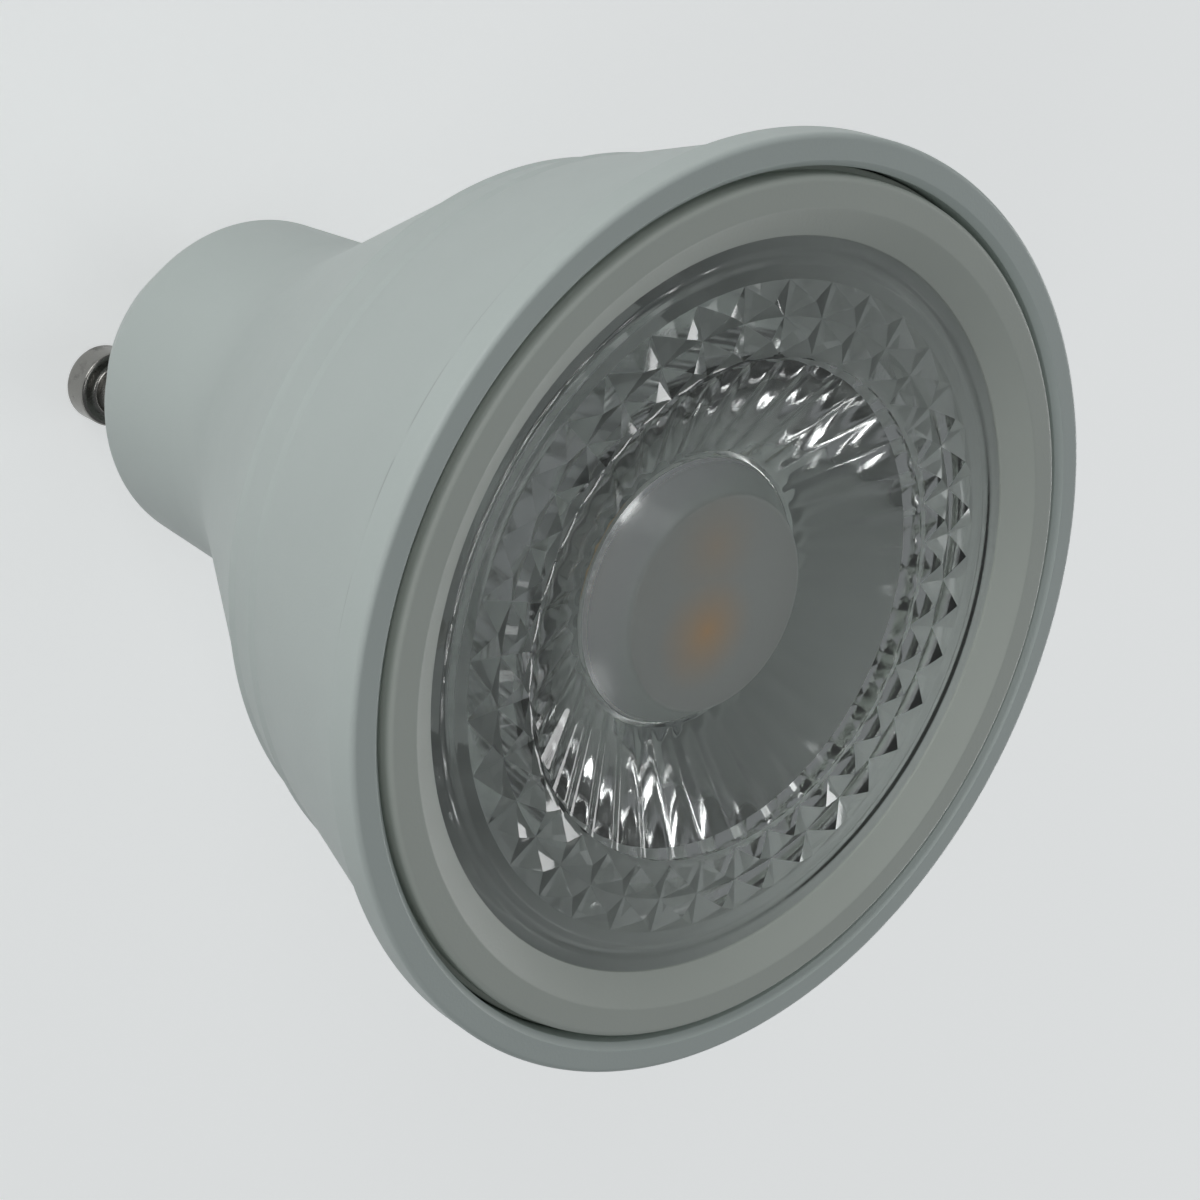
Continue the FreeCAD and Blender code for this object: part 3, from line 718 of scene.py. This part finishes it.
@dataclass
class Housing:
    """The white moulding: rim, flared cone, two step rings, neck and bevelled base."""

    face_z: float
    rim_radius: float
    base_z: float = 7.4
    rim_band: float = 1.75
    rim_step: float = 0.5
    rim_step_slope: float = 0.25
    flare_taper: float = 0.285
    first_step_depth: float = 13.6
    second_step_depth: float = 16.7
    step_land: float = 0.6
    step_drop: float = 0.25
    step_slope: float = 0.3
    shoulder_taper: float = 0.52
    neck_radius: float = 10.95
    neck_draft: float = 0.45
    neck_fillet: float = 13.0
    base_chamfer_width: float = 2.2
    base_chamfer_height: float = 3.5
    base_thickness: float = 2.0
    rebate_wall: float = 1.65
    rebate_bevel: float = 0.35
    rebate_depth: float = 3.8
    flare_wall: float = 1.7
    shoulder_wall: float = 2.33
    neck_wall: float = 1.5
    columns: int = 360
    step: float = 1.2
    # the dark line at 54.65 mm is painted shade in the corner just below the rim band's step
    finish: MouldedPlastic = MouldedPlastic("housing_plastic", (0.65, 0.72, 0.69),
                                            shade_line_height=54.65)

    def cone_radius(self, depth: float) -> float:
        """Outer radius of the upper cone at a depth behind the face."""
        start = self.rim_band + self.rim_step_slope
        return self.rim_radius - self.rim_step - self.flare_taper * (depth - start)

    def outside(self) -> list[Corner]:
        """The outer line, from the face down to the base.

        Returns:
            Its corners.
        """
        z = self.face_z
        land = self.cone_radius(self.first_step_depth)
        band = self.first_step_depth + self.step_land + self.step_slope
        lower = land - self.step_drop - self.flare_taper * (self.second_step_depth - band)
        shoulder = lower - self.step_drop
        shoulder_depth = self.second_step_depth + self.step_land + self.step_slope
        neck_depth = shoulder_depth + (shoulder - self.neck_radius) / self.shoulder_taper
        foot = self.neck_radius - self.neck_draft
        return [
            Corner(self.rim_radius, z, 0.3),
            Corner(self.rim_radius, z - self.rim_band, 0.1),
            Corner(self.rim_radius - self.rim_step, z - self.rim_band - self.rim_step_slope, 0.1),
            Corner(land, z - self.first_step_depth, 0.5),
            Corner(land, z - self.first_step_depth - self.step_land, 0.15),
            Corner(land - self.step_drop, z - band, 0.2),
            Corner(lower, z - self.second_step_depth, 0.5),
            Corner(lower, z - self.second_step_depth - self.step_land, 0.15),
            Corner(shoulder, z - shoulder_depth, 0.1),
            Corner(self.neck_radius, z - neck_depth, self.neck_fillet),
            Corner(foot, self.base_z + self.base_chamfer_height, 1.0),
            Corner(foot - self.base_chamfer_width, self.base_z, 0.4),
            Corner(0.0, self.base_z),
        ]

    def inside(self) -> list[Corner]:
        """The inner line, from the base floor up to the face.

        Returns:
            Its corners.
        """
        z = self.face_z
        floor = self.base_z + self.base_thickness
        rebate = self.rim_radius - self.rebate_wall
        bore = self.neck_radius - self.neck_wall
        slope = self.base_chamfer_width / self.base_chamfer_height
        foot = self.neck_radius - self.neck_draft - self.base_chamfer_width
        floor_radius = foot + slope * self.base_thickness - self.neck_wall
        mid_depth = self.second_step_depth + self.step_land + self.step_slope
        mid = self.cone_radius(self.first_step_depth) - 2 * self.step_drop - self.shoulder_wall
        neck_depth = mid_depth + (mid - bore) / self.shoulder_taper
        return [
            Corner(0.0, floor),
            Corner(floor_radius, floor, 0.5),
            Corner(bore, floor + (bore - floor_radius) / slope, 0.5),
            Corner(bore, z - neck_depth, self.neck_fillet),
            Corner(mid, z - mid_depth, 2.0),
            Corner(self.cone_radius(self.rebate_depth) - self.flare_wall, z - self.rebate_depth),
            Corner(rebate, z - self.rebate_depth),
            Corner(rebate, z - self.rebate_bevel, 0.08),
            Corner(rebate + self.rebate_bevel, z, 0.08),
        ]

    def build(self) -> bpy.types.Object:
        """Turn the whole section, outside and inside, as one closed skin."""
        outline = rounded_run(self.inside() + self.outside(), False, step=self.step)
        return turned_piece("housing_shell", outline, False, self.columns)

    def dress(self, piece: bpy.types.Object) -> None:
        """Finish the shell and stand it for the solid."""
        settle(piece, Slot.HOUSING, self.finish.material(), "housing")


@dataclass
class LensRing:
    """The white ring that holds the lens down, with a rounded crown and a sloping inner lip."""

    face_z: float
    outer_radius: float
    bottom_z: float
    foot_height: float = 1.4
    groove: float = 0.3
    land: float = 1.6
    foot_width: float = 2.05
    lip_radius: float = 19.75
    recess: float = 1.2
    lip_edge: float = 0.12
    columns: int = 360
    finish: MouldedPlastic = MouldedPlastic("ring_plastic", (0.62, 0.665, 0.61))

    def build(self) -> bpy.types.Object:
        """Turn the ring's closed section.

        Returns:
            The ring.
        """
        crown = self.outer_radius - self.groove
        inner = self.outer_radius - self.foot_width
        lip_z = self.face_z - self.recess
        corners = [
            Corner(crown, self.face_z, 0.35),
            Corner(crown - self.land, self.face_z, 0.2),
            Corner(self.lip_radius, lip_z + self.lip_edge, 0.1),
            Corner(self.lip_radius, lip_z),
            Corner(inner, lip_z),
            Corner(inner, self.bottom_z),
            Corner(self.outer_radius, self.bottom_z),
            Corner(self.outer_radius, self.bottom_z + self.foot_height, 0.1),
            Corner(crown, self.bottom_z + self.foot_height, 0.05),
        ]
        return turned_piece("lens_ring_shell", rounded_run(corners, True), True, self.columns)

    def dress(self, piece: bpy.types.Object) -> None:
        """Finish the ring and stand it for the solid."""
        settle(piece, Slot.RING, self.finish.material(), "lens_ring")


@dataclass
class Lens:
    """The clear moulding: wavy border, two rows of pyramids, fluted bowl and frosted island."""

    top_z: float
    radius: float
    flange: float = 1.6
    edge_round: float = 0.12
    wave_inner: float = 18.2
    wave_outer: float = 19.2
    wave_depth: float = 0.15
    pyramid_inner: float = 13.75
    pyramid_outer: float = 17.55
    pyramid_rows: int = 2
    pyramid_height: float = 0.6
    repeats: int = 36
    columns_per_repeat: int = 10
    bowl_radius: float = 13.5
    bowl_depth: float = 3.8
    floor_width: float = 0.3
    island_radius: float = 5.9
    island_foot: float = 7.3
    island_drop: float = 1.7
    island_dome: float = 0.25
    flute_depth: float = 0.22
    flute_fill: float = 0.9
    flute_fade: float = 0.5
    dome_edge: float = 0.3
    crease: float = 24.0
    collimator_foot: float = 8.0
    collimator_height: float = 12.0
    collimator_bulge: float = 0.75
    pocket_radius: float = 6.5
    pocket_roof: float = 6.2
    pocket_height: float = 4.6
    pocket_dome: float = 0.8

    def island(self) -> Array:
        """The domed top of the island: a shallow parabola from the axis to its edge.

        Returns:
            (r, z) rows.
        """
        r = np.linspace(0, self.island_radius - self.dome_edge, 14)
        rise = self.island_dome * (1 - (r / self.island_radius) ** 2)
        return np.column_stack([r, self.top_z - self.island_drop + rise])

    def bowl(self) -> Array:
        """The island's flank, the narrow floor and the bowl's wall up to its rim.

        Returns:
            (r, z) rows.
        """
        island_z = self.top_z - self.island_drop
        floor_z = self.top_z - self.bowl_depth
        corners = [
            Corner(self.island_radius - self.dome_edge, island_z + 0.02),
            Corner(self.island_radius, island_z, 0.18),
            Corner(self.island_foot, floor_z, 0.15),
            Corner(self.island_foot + self.floor_width, floor_z, 0.15),
            Corner(self.bowl_radius, self.top_z, 0.06),
            Corner(self.pyramid_inner, self.top_z),
        ]
        return rounded_run(corners, False, step=0.2)

    def border(self) -> Array:
        """The border outside the pyramids, with one shallow wave.

        Across the wave, z falls by depth * (1 + cos(pi * v)) / 2, with v from 0 in the middle
        to 1 at either side.

        Returns:
            (r, z) rows.
        """
        r = np.linspace(self.pyramid_outer, self.radius - self.edge_round, 60)
        middle = (self.wave_inner + self.wave_outer) / 2
        half = (self.wave_outer - self.wave_inner) / 2
        inside = np.clip(np.abs(r - middle) / half, 0, 1)
        z = self.top_z - self.wave_depth * 0.5 * (1 + np.cos(np.pi * inside))
        return np.column_stack([r, z])

    def back(self) -> Array:
        """The edge, the flange's underside, the bulged collimator and the pocket for the light.

        The collimator's wall stands out from its chord by bulge * 4 s (1 - s), with s from 0 to
        1 along it, and the pocket's roof is a shallow parabola.

        Returns:
            (r, z) rows.
        """
        flange_z = self.top_z - self.flange
        foot_z = flange_z - self.collimator_height
        top = self.bowl_radius + 0.1
        share = np.linspace(0, 1, 40)
        chord = np.array([self.collimator_foot - top, foot_z - flange_z])
        outward = np.array([-chord[1], chord[0]]) / np.hypot(*chord)
        wall = np.array([top, flange_z]) + share[:, None] * chord
        wall = wall + (4 * share * (1 - share) * self.collimator_bulge)[:, None] * outward
        roof_r = np.linspace(self.pocket_roof, 0, 16)
        roof_fall = self.pocket_dome * (1 - (roof_r / self.pocket_roof) ** 2)
        roof_z = foot_z + self.pocket_height - roof_fall
        edge = rounded_run([
            Corner(self.radius - self.edge_round, self.top_z),
            Corner(self.radius, self.top_z, self.edge_round * 0.9),
            Corner(self.radius, flange_z, self.edge_round * 0.9),
            Corner(top, flange_z),
        ], False)
        pocket = rounded_run([
            Corner(self.collimator_foot, foot_z),
            Corner(self.pocket_radius, foot_z),
            Corner(self.pocket_roof, foot_z + self.pocket_height),
        ], False)
        return np.concatenate([edge[1:-1], wall, pocket[1:-1], np.column_stack([roof_r, roof_z])])

    def across(self, columns: int) -> Array:
        """Round the lens, 1 at both edges of each repeat and 0 in its middle."""
        return np.abs(np.linspace(0, self.repeats, columns, endpoint=False) % 1.0 * 2 - 1)

    def flutes(self, profile: Array, columns: int) -> tuple[Array, Array]:
        """Shifts in r and z that press the flutes into the bowl's wall.

        Across each flute the depth is depth * (1 - v * v), with v from -1 to 1 over the part
        of its pitch that the flute fills, and it grows outwards with the radius.

        Args:
            profile: (r, z) rows of the front.
            columns: points round the axis.

        Returns:
            The shifts in r and in z, by row and column.
        """
        low = self.island_foot + self.floor_width
        run = np.array([self.bowl_radius - low, self.bowl_depth])
        along = run / np.linalg.norm(run)
        r = profile[:, 0]
        above_floor = profile[:, 1] > self.top_z - self.bowl_depth - 0.01
        on_wall = (r > low) & (r <= self.bowl_radius + 0.02) & above_floor
        fade = np.clip((r - low) / self.flute_fade, 0, 1)
        fade = fade * np.clip((self.bowl_radius + 0.06 - r) / 0.12, 0, 1)
        v = self.across(columns) / self.flute_fill
        hollow = np.clip(1 - v * v, 0, None)
        depth = (on_wall * fade * self.flute_depth * r / self.bowl_radius)[:, None] * hollow
        return depth * along[1], -depth * along[0]

    def pyramid_lift(self, r: Array, columns: int) -> Array:
        """Height of the pyramids: height * (1 - the larger of |u| and |v|) in each cell.

        Args:
            r: radius of each row.
            columns: points round the axis.

        Returns:
            Heights by row and column.
        """
        width = (self.pyramid_outer - self.pyramid_inner) / self.pyramid_rows
        u = np.abs(((r - self.pyramid_inner) / width % 1.0) * 2 - 1)
        return self.pyramid_height * (1 - np.maximum(u[:, None], self.across(columns)))

    def build(self) -> bpy.types.Object:
        """Join front and back into one closed skin.

        In the pyramids' rows the quads on a cell's diagonals are cut along those diagonals, so
        that every edge between two facets is a straight one.

        Returns:
            The lens.
        """
        per_cell = self.columns_per_repeat
        columns = self.repeats * per_cell
        front = np.concatenate([self.island()[:-1], self.bowl()])
        rows = np.linspace(self.pyramid_inner, self.pyramid_outer, self.pyramid_rows * per_cell + 1)
        cells = np.column_stack([rows, np.full(len(rows), self.top_z)])
        rest = np.concatenate([self.border()[1:], self.back()])
        profile = np.concatenate([front[:-1], cells, rest])
        radius = np.repeat(profile[:, :1], columns, axis=1)
        height = np.repeat(profile[:, 1:], columns, axis=1)
        shift_r, shift_z = self.flutes(front[:-1], columns)
        first = len(front) - 1
        radius[:first] += shift_r
        height[:first] += shift_z
        last = first + len(cells)
        height[first:last] += self.pyramid_lift(rows, columns)
        points = turned_points(radius, height, columns)
        quads = quad_grid(len(profile), columns, False)
        cell_quads = quads[first:last - 1].reshape(-1, 4)
        row, column = np.meshgrid(np.arange(last - 1 - first) % per_cell,
                                  np.arange(columns) % per_cell, indexing="ij")
        rising = (row == column).reshape(-1)
        falling = (row + column == per_cell - 1).reshape(-1)
        plain = cell_quads[~rising & ~falling]
        others = [quads[:first].reshape(-1, 4), quads[last - 1:].reshape(-1, 4)]
        faces = np.concatenate([*others, plain]).tolist()
        cuts = ((rising, ((0, 1, 2), (0, 2, 3))), (falling, ((0, 1, 3), (1, 2, 3))))
        for diagonal, order in cuts:
            for corners in order:
                faces += cell_quads[diagonal][:, list(corners)].tolist()
        return make_piece("lens_clear_moulding", points, faces, self.crease)

    def dress(self, piece: bpy.types.Object) -> None:
        """Finish the lens and stand it for the solid.

        Args:
            piece: the lens.
        """
        frosted_low = self.top_z - self.island_drop - self.dome_edge
        finish = ClearMoulding("lens_plastic", self.island_radius, self.island_foot,
                               frosted_low, self.top_z - self.bowl_depth)
        settle(piece, Slot.LENS, finish.material(), "lens")


@dataclass
class ContactPins:
    """The two turned pins with flat round heads, waists and riveted shanks."""

    base_z: float = 7.4
    base_thickness: float = 2.0
    spacing: float = 10.0
    head_radius: float = 2.5
    head_height: float = 2.3
    waist_radius: float = 1.6
    collar_radius: float = 2.2
    collar_height: float = 0.5
    shank_radius: float = 1.75
    rivet_radius: float = 2.3
    rivet_height: float = 0.5
    barrel_radius: float = 1.2
    barrel_height: float = 1.5
    bore_radius: float = 0.5
    bore_depth: float = 2.0
    columns: int = 96
    finish: PlatedMetal = PlatedMetal("pin_plating", (0.27, 0.265, 0.25), 0.24)

    def outline(self) -> Array:
        """Half section of a pin from its flat end to the bottom of its bore.

        Returns:
            (r, z) rows.
        """
        floor = self.base_z + self.base_thickness
        rivet_top = floor + self.rivet_height
        top = rivet_top + self.barrel_height
        corners = [
            Corner(0.0, 0.0),
            Corner(self.head_radius, 0.0, 0.5),
            Corner(self.head_radius, self.head_height, 0.3),
            Corner(self.waist_radius, self.head_height, 0.3),
            Corner(self.waist_radius, self.base_z - self.collar_height, 0.1),
            Corner(self.collar_radius, self.base_z - self.collar_height, 0.15),
            Corner(self.collar_radius, self.base_z),
            Corner(self.shank_radius, self.base_z),
            Corner(self.shank_radius, floor),
            Corner(self.rivet_radius, floor),
            Corner(self.rivet_radius, rivet_top, 0.2),
            Corner(self.barrel_radius, rivet_top),
            Corner(self.barrel_radius, top, 0.1),
            Corner(self.bore_radius, top, 0.1),
            Corner(self.bore_radius, top - self.bore_depth),
            Corner(0.0, top - self.bore_depth),
        ]
        return rounded_run(corners, False, step=0.5, hold=0.05)

    def build(self) -> dict[str, bpy.types.Object]:
        """Turn both pins.

        Returns:
            The pins by the node that each stands for.
        """
        outline = self.outline()
        return {
            f"contact_pin_{side}": turned_piece(f"pin_{side}_turned", outline, False, self.columns,
                                                offset=(sign * self.spacing / 2, 0.0))
            for side, sign in (("left", -1), ("right", 1))
        }

    def dress(self, pieces: dict[str, bpy.types.Object]) -> None:
        """Plate both pins.

        Args:
            pieces: the pins by node.
        """
        material = self.finish.material()
        for node, piece in pieces.items():
            settle(piece, Slot.PIN, material, node)


@dataclass
class Innards:
    """The solids inside, which keep their shape and get their finishes."""

    finishes: dict[str, object] = field(default_factory=lambda: {
        # the heat sink darkens towards its bottom with painted shade
        "heat_sink": PressedMetal("sink_metal", (0.77, 0.79, 0.78), 0.72, 0.3, 41.0, 52.0, 0.66),
        "thermal_pad": Coating("pad_silicone", (0.42, 0.44, 0.45), 0.75, 2.0, 0.1),
        "led_board": Coating("board_mask", (0.82, 0.84, 0.83), 0.42, 2.5, 0.04, 0.15, 0.006),
        # the chip plate and the dam are white, greyed here by painted shade from the deep lens
        # around them
        "chip_plate": Coating("chip_ceramic", (0.56, 0.57, 0.55), 0.55, 1.2, 0.04, 0.06, 0.006),
        "phosphor_dam": Coating("dam_silicone_painted_shade", (0.58, 0.59, 0.56), 0.5, 1.0, 0.04),
        "phosphor": Coating("phosphor_resin", (0.72, 0.50, 0.24), 0.4, 0.6, 0.12, 0.05, 0.008),
        "board_screws": PlatedMetal("screw_zinc", (0.62, 0.63, 0.64), 0.3, 0.3),
        "insulating_disc": Coating("disc_fibre", (0.72, 0.68, 0.56), 0.6, 1.5, 0.08),
        "driver_board": Coating("driver_mask", (0.05, 0.20, 0.10), 0.35, 1.5, 0.15, 0.12, 0.01,
                                coat=0.3),
        "mains_capacitor": Coating("can_sleeve", (0.03, 0.03, 0.035), 0.32, 2.0, 0.2),
        "output_capacitor": Coating("small_can_sleeve", (0.03, 0.035, 0.05), 0.32, 2.0, 0.2),
        "film_capacitor": Coating("film_case", (0.62, 0.22, 0.05), 0.3, 2.5, 0.08),
        "fusible_resistor": Coating("resistor_coat", (0.16, 0.32, 0.2), 0.6, 0.8, 0.15, 0.15, 0.03),
        "varistor": Coating("varistor_dip", (0.03, 0.09, 0.36), 0.28, 1.5, 0.1, 0.4, 0.04),
        "inductor_core": Coating("ferrite", (0.06, 0.06, 0.065), 0.62, 0.6, 0.25, 0.08, 0.02, 0.3),
        "inductor_winding": WoundWire("winding", (0.66, 0.26, 0.1)),
        "bridge_rectifier": Coating("bridge_epoxy", (0.03, 0.03, 0.033), 0.5, 0.8, 0.2),
        "driver_chip": Coating("chip_epoxy", (0.028, 0.028, 0.03), 0.48, 0.8, 0.2),
        "output_diode": Coating("diode_epoxy", (0.032, 0.03, 0.03), 0.5, 0.8, 0.2),
        "chip_resistors": Coating("resistor_glaze", (0.02, 0.02, 0.024), 0.3, 0.5, 0.3),
        "input_wire_left": Coating("left_lead_skin", (0.02, 0.02, 0.02), 0.5, 1.0, 0.2),
        "input_wire_right": Coating("right_lead_skin", (0.02, 0.02, 0.02), 0.5, 1.0, 0.2),
        "output_wire_left": Coating("left_wire_skin", (0.74, 0.74, 0.70), 0.45, 1.0, 0.05),
        "output_wire_right": Coating("right_wire_skin", (0.74, 0.74, 0.70), 0.45, 1.0, 0.05),
    })

    def dress(self) -> None:
        """Give each solid its finish in every material slot that it has."""
        for node, finish in self.finishes.items():
            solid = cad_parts[node]
            material = finish.material()
            solid.data.materials.clear()
            solid.data.materials.append(material)
            LOG.info("%s: %s", node, material.name)


# The studio

@dataclass(frozen=True)
class PanelLight:
    """A soft panel light: its place and sides in metres, and its level.

    A level of 1 lights a facing surface so that its colour renders as written.
    """

    name: str
    place: Place
    width: float
    height: float
    level: float


@dataclass
class Studio:
    """Floor, soft lights and the camera at the picture's viewing angle.

    Places and sizes here are in metres, apart from camera_place, lens, sensor and
    floor_drop, which are in millimetres.
    """

    camera_place: Place = (-58.1, 82.3, 142.5)
    look_right: Place = (0.71322, -0.26666, 0.64824)
    look_up: Place = (0.56817, 0.76155, -0.31184)
    lens: float = 78.0
    sensor: float = 36.0
    shift_x: float = 0.0014
    shift_y: float = -0.0303
    aim: Place = (0.0, 0.0, 0.035)
    floor_half: float = 1.6
    floor_cells: int = 8
    floor_drop: float = 0.1
    floor_colour: Colour = (0.70, 0.71, 0.71)
    floor_glow: Colour = (0.47, 0.48, 0.48)
    world_colour: Colour = (0.93, 0.97, 1.0)
    world_level: float = 0.185
    view_start: float = 0.005
    view_end: float = 20.0
    lights: tuple[PanelLight, ...] = (
        PanelLight("side_light", (-0.19, 0.59, 0.07), 0.45, 0.20, 0.35),
        PanelLight("front_light", (-0.42, 0.51, 0.66), 0.85, 0.095, 0.125),
        PanelLight("back_light", (0.154, -0.574, 0.57), 0.12, 0.12, 0.006),
        PanelLight("far_light", (0.44, -0.42, 0.09), 0.50, 0.17, 0.30),
        PanelLight("right_light", (0.60, 0.11, 0.55), 0.20, 0.20, 0.005),
    )

    def set_camera(self) -> None:
        """Stand the camera where the picture was taken from."""
        data = bpy.data.cameras.new("camera")
        data.sensor_width = self.sensor
        data.lens = self.lens
        data.shift_x = self.shift_x
        data.shift_y = self.shift_y
        data.clip_start = self.view_start
        data.clip_end = self.view_end
        camera = bpy.data.objects.new("camera", data)
        right = Vector(self.look_right).normalized()
        up = Vector(self.look_up)
        up = (up - right * up.dot(right)).normalized()
        back = right.cross(up)
        turn = Matrix((right, up, back)).transposed().to_4x4()
        camera.matrix_world = Matrix.Translation(Vector(self.camera_place) * MM) @ turn
        bpy.context.scene.collection.objects.link(camera)
        bpy.context.scene.camera = camera

    def lay_floor(self) -> None:
        """A plain pale floor under the pins."""
        side = self.floor_cells + 1
        grid = np.linspace(-self.floor_half, self.floor_half, side)
        x, y = np.meshgrid(grid, grid, indexing="ij")
        points = np.stack([x, y, np.full_like(x, -self.floor_drop * MM)], axis=-1).reshape(-1, 3)
        cells = np.arange(self.floor_cells)
        row, column = np.meshgrid(cells, cells, indexing="ij")
        first = (row * side + column).reshape(-1)
        faces = np.column_stack([first, first + side, first + side + 1, first + 1])
        mesh = bpy.data.meshes.new("floor")
        mesh.from_pydata(points.tolist(), [], faces.tolist())
        floor = bpy.data.objects.new("floor", mesh)
        graph = Graph("floor_paper")
        path = graph.node("ShaderNodeLightPath")
        seen = graph.math("MAXIMUM", Value(graph, path.outputs["Is Camera Ray"]),
                          Value(graph, path.outputs["Is Glossy Ray"]))
        seen = graph.math("MAXIMUM", seen, Value(graph, path.outputs["Is Transmission Ray"]))
        mesh.materials.append(graph.finish(graph.principled(
            Base_Color=(*self.floor_colour, 1.0),
            Roughness=0.9,
            Specular_IOR_Level=0.1,
            Emission_Color=graph.blend(seen, (0.0, 0.0, 0.0), self.floor_glow),
            Emission_Strength=1.0,
        )))
        bpy.context.scene.collection.objects.link(floor)

    def hang_light(self, panel: PanelLight) -> None:
        """Hang one light and point it at the lamp.

        Args:
            panel: the light.
        """
        data = bpy.data.lights.new(panel.name, "AREA")
        data.shape = "RECTANGLE"
        data.size = panel.width
        data.size_y = panel.height
        towards = Vector(self.aim) - Vector(panel.place)
        data.energy = panel.level * math.pi ** 2 * towards.length_squared
        light = bpy.data.objects.new(panel.name, data)
        light.location = panel.place
        light.rotation_mode = "QUATERNION"
        light.rotation_quaternion = towards.to_track_quat("-Z", "Y")
        bpy.context.scene.collection.objects.link(light)

    def set_world(self) -> None:
        """An even pale surround."""
        world = bpy.data.worlds.new("surround")
        world.use_nodes = True
        background = world.node_tree.nodes["Background"]
        background.inputs["Color"].default_value = (*self.world_colour, 1.0)
        background.inputs["Strength"].default_value = self.world_level
        bpy.context.scene.world = world

    def build(self) -> None:
        """Set up everything round the lamp."""
        self.set_world()
        self.lay_floor()
        for panel in self.lights:
            self.hang_light(panel)
        self.set_camera()
        bpy.context.scene.view_settings.view_transform = "Standard"
        LOG.info("studio is set")


def main() -> None:
    """Build the lamp's pieces in order, dress them and set the studio."""
    logging.basicConfig(level=logging.INFO, format="%(message)s")
    housing_low, housing_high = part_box("housing")
    _, lens_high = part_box("lens")
    ring_low, ring_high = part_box("lens_ring")
    face_z = housing_high[2] / MM
    housing = Housing(face_z=face_z, rim_radius=housing_high[0] / MM, base_z=housing_low[2] / MM)
    housing.dress(housing.build())
    ring = LensRing(face_z=ring_high[2] / MM, outer_radius=ring_high[0] / MM,
                    bottom_z=ring_low[2] / MM)
    ring.dress(ring.build())
    lens = Lens(top_z=face_z - ring.recess, radius=lens_high[0] / MM)
    lens.dress(lens.build())
    pins = ContactPins(base_z=housing.base_z)
    pins.dress(pins.build())
    Innards().dress()
    Studio().build()


if __name__ == "__main__":
    main()
